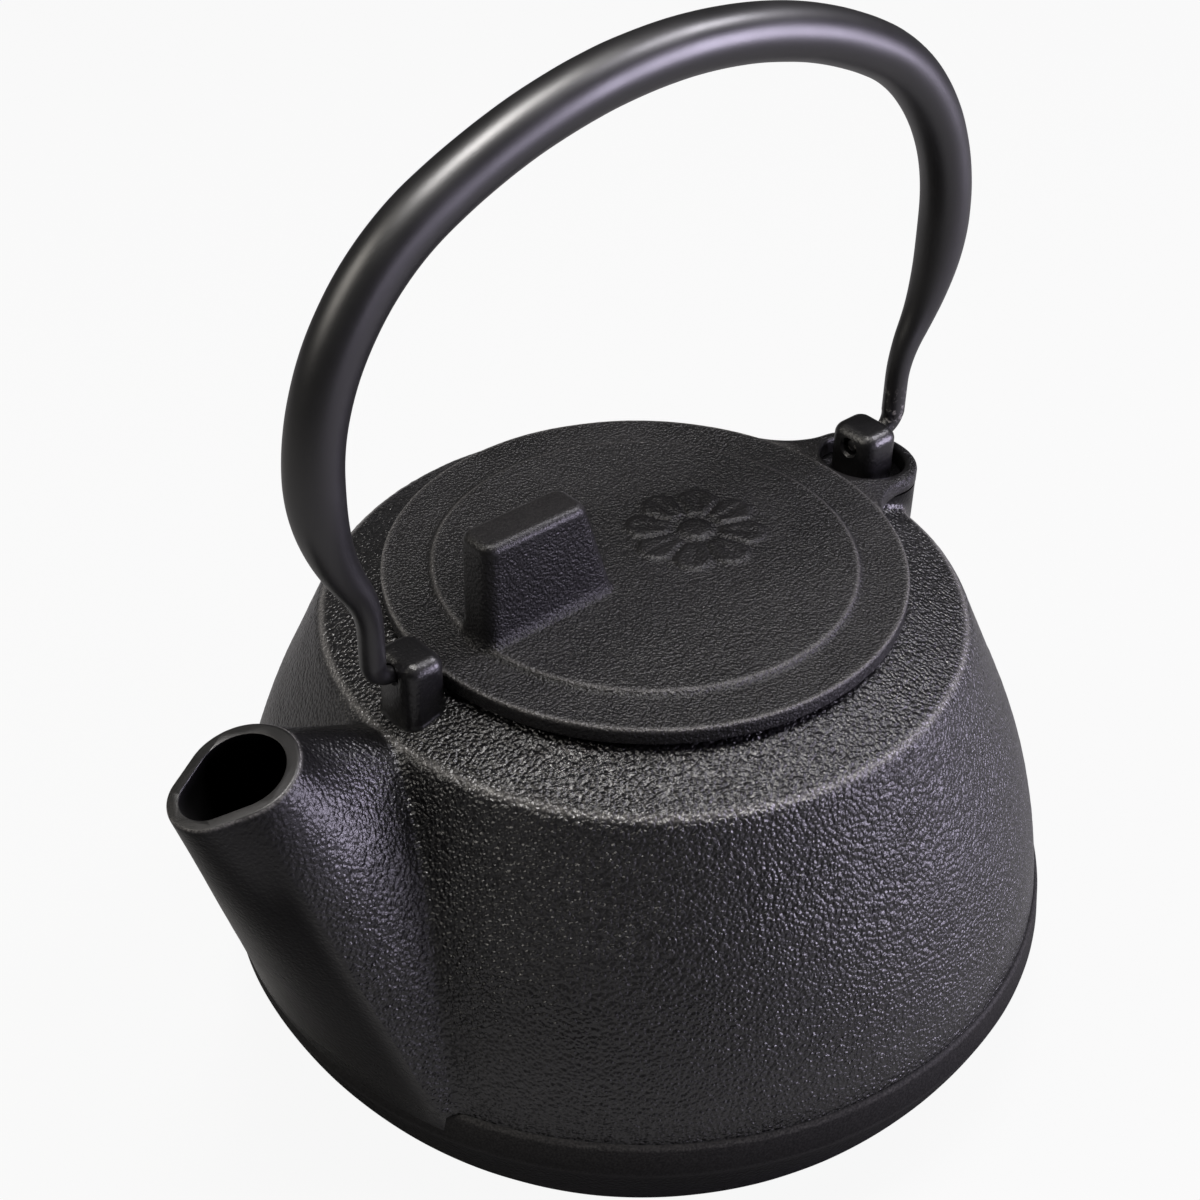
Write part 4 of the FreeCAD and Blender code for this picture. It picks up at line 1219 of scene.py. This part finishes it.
# Floor in millimetres; white seen in reflections and on the floor, and the room's light, as shares
FLOOR_HALF, FLOOR_DROP = 6000, 0.05
PAPER_GRAIN = 2
REFLECTED_WHITE = 0.015
FLOOR_WHITE = 0.925
ROOM_LIGHT = 0.03
WHITE = (1, 1, 1, 1)


def white_where_seen(tree, plain, white, share):
    """Mixes towards plain white where the camera sees the surface, and less so in reflections."""
    path = tree.nodes.new("ShaderNodeLightPath")
    mirrored = times(tree, path.outputs["Is Glossy Ray"], REFLECTED_WHITE)
    seen = math_of(tree, "MAXIMUM", path.outputs["Is Camera Ray"],
                   math_of(tree, "MAXIMUM", mirrored, path.outputs["Is Transmission Ray"]))
    factor = times(tree, seen, share)
    return add(tree, "ShaderNodeMixShader", i0=factor, i1=plain.outputs[0], i2=white.outputs[0]).outputs[0]


def make_floor():
    """Pale floor that keeps the pot's shadow."""
    corners = ((-1, -1), (1, -1), (1, 1), (-1, 1))
    floor = make_object("floor", [(x * FLOOR_HALF, y * FLOOR_HALF, -FLOOR_DROP) for x, y in corners],
                        [(0, 1, 2, 3)])
    material, tree, output, place = blank_material("floor")
    paper = mix_colour(tree, noise_of(tree, place, PAPER_GRAIN, detail=2.0), grey(0.24), grey(0.27))
    diffuse = add(tree, "ShaderNodeBsdfDiffuse", Color=paper)
    glow = add(tree, "ShaderNodeEmission", Color=WHITE, Strength=1.0)
    feed(tree, output, Surface=white_where_seen(tree, diffuse, glow, FLOOR_WHITE))
    paint(floor, material)


def make_world():
    world = bpy.data.worlds.new("studio")
    bpy.context.scene.world = world
    world.use_nodes = True
    tree = world.node_tree
    tree.nodes.clear()
    room = add(tree, "ShaderNodeBackground", Color=WHITE, Strength=ROOM_LIGHT)
    white = add(tree, "ShaderNodeBackground", Color=WHITE, Strength=1.0)
    add(tree, "ShaderNodeOutputWorld", Surface=white_where_seen(tree, room, white, 1.0))


# Lamps: name, place, height on the pot's axis that it points at, size, power in watts, colour
LAMPS = (("left_box", (-0.87, 0.40, 0.90), 0.10, (0.55, 0.55), 5.2, (1, 0.95, 0.87)),
         ("top_box", (-0.03, 0.0, 1.1), 0.05, (0.35, 0.35), 11.5, (1, 0.97, 0.95)),
         ("high_box", (0.71, -0.19, 1.0), 0.05, (0.3, 0.3), 7, (0.95, 0.92, 1)),
         ("right_box", (0.75, -0.78, 0.27), 0.05, (0.5, 0.5), 12, (0.84, 0.77, 1)),
         ("front_box", (0.1, -1.05, 0.18), 0.05, (0.45, 0.32), 1.1, (0.86, 0.8, 1)))


def make_light(name, place, aim, size, power, colour):
    """Rectangular lamp, in metres."""
    light = bpy.data.lights.new(name, "AREA")
    light.color = colour
    light.shape = "RECTANGLE"
    light.size, light.size_y = size
    light.energy = power
    lamp = bpy.data.objects.new(name, light)
    lamp.location = place
    lamp.rotation_euler = (Vector((0, 0, aim)) - Vector(place)).to_track_quat("-Z", "Y").to_euler()
    link(lamp)


def make_camera():
    data = bpy.data.cameras.new("photo")
    data.sensor_width = CAMERA_SENSOR
    data.lens = CAMERA_LENS
    data.clip_start = CAMERA_NEAR
    camera = bpy.data.objects.new("photo", data)
    turn, lift, roll = (Matrix.Rotation(math.radians(angle), 4, axis) for angle, axis in
                        ((CAMERA_TURN, "Z"), (CAMERA_LIFT, "X"), (CAMERA_ROLL, "Z")))
    camera.matrix_world = Matrix.Translation(CAMERA_PLACE) @ (turn @ lift @ roll)
    link(camera)
    bpy.context.scene.camera = camera


def place_piece(piece, body, slot, *nodes):
    """Hangs a finished piece on the empty of the body it rides and hides the nodes it stands for. The slot
    is not used.
    """
    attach(piece, body)
    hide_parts(*nodes)


place_piece(make_pot_upper(), "pot", "pot_iron", "pot_side", "pot_shoulder", "spout")
place_piece(make_pot_lower(), "pot", "pot_iron", "pot_bowl")
front_post = make_lug("front_post", FRONT_LUG + FRONT_LUG_SHIFT, FRONT_LUG_HALF, LUG_TOP, shoulder_level)
place_piece(front_post, "pot", "pot_iron", "front_lug")
rear_post = make_lug("rear_post", REAR_LUG, REAR_LUG_HALF, LUG_TOP + REAR_LUG_RISE, boss_top)
place_piece(rear_post, "pot", "pot_iron", "rear_lug")
place_piece(make_lid(), "lid", "lid_iron", "lid")
place_piece(make_bail(), "bail", "bail_black", "bail")
for node in ("infuser_rim", "infuser_wall", "infuser_floor"):
    paint(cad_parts[node], STEEL)

make_floor()
make_world()
for lamp in LAMPS:
    make_light(*lamp)
make_camera()
bpy.context.scene.view_settings.view_transform = "Standard"
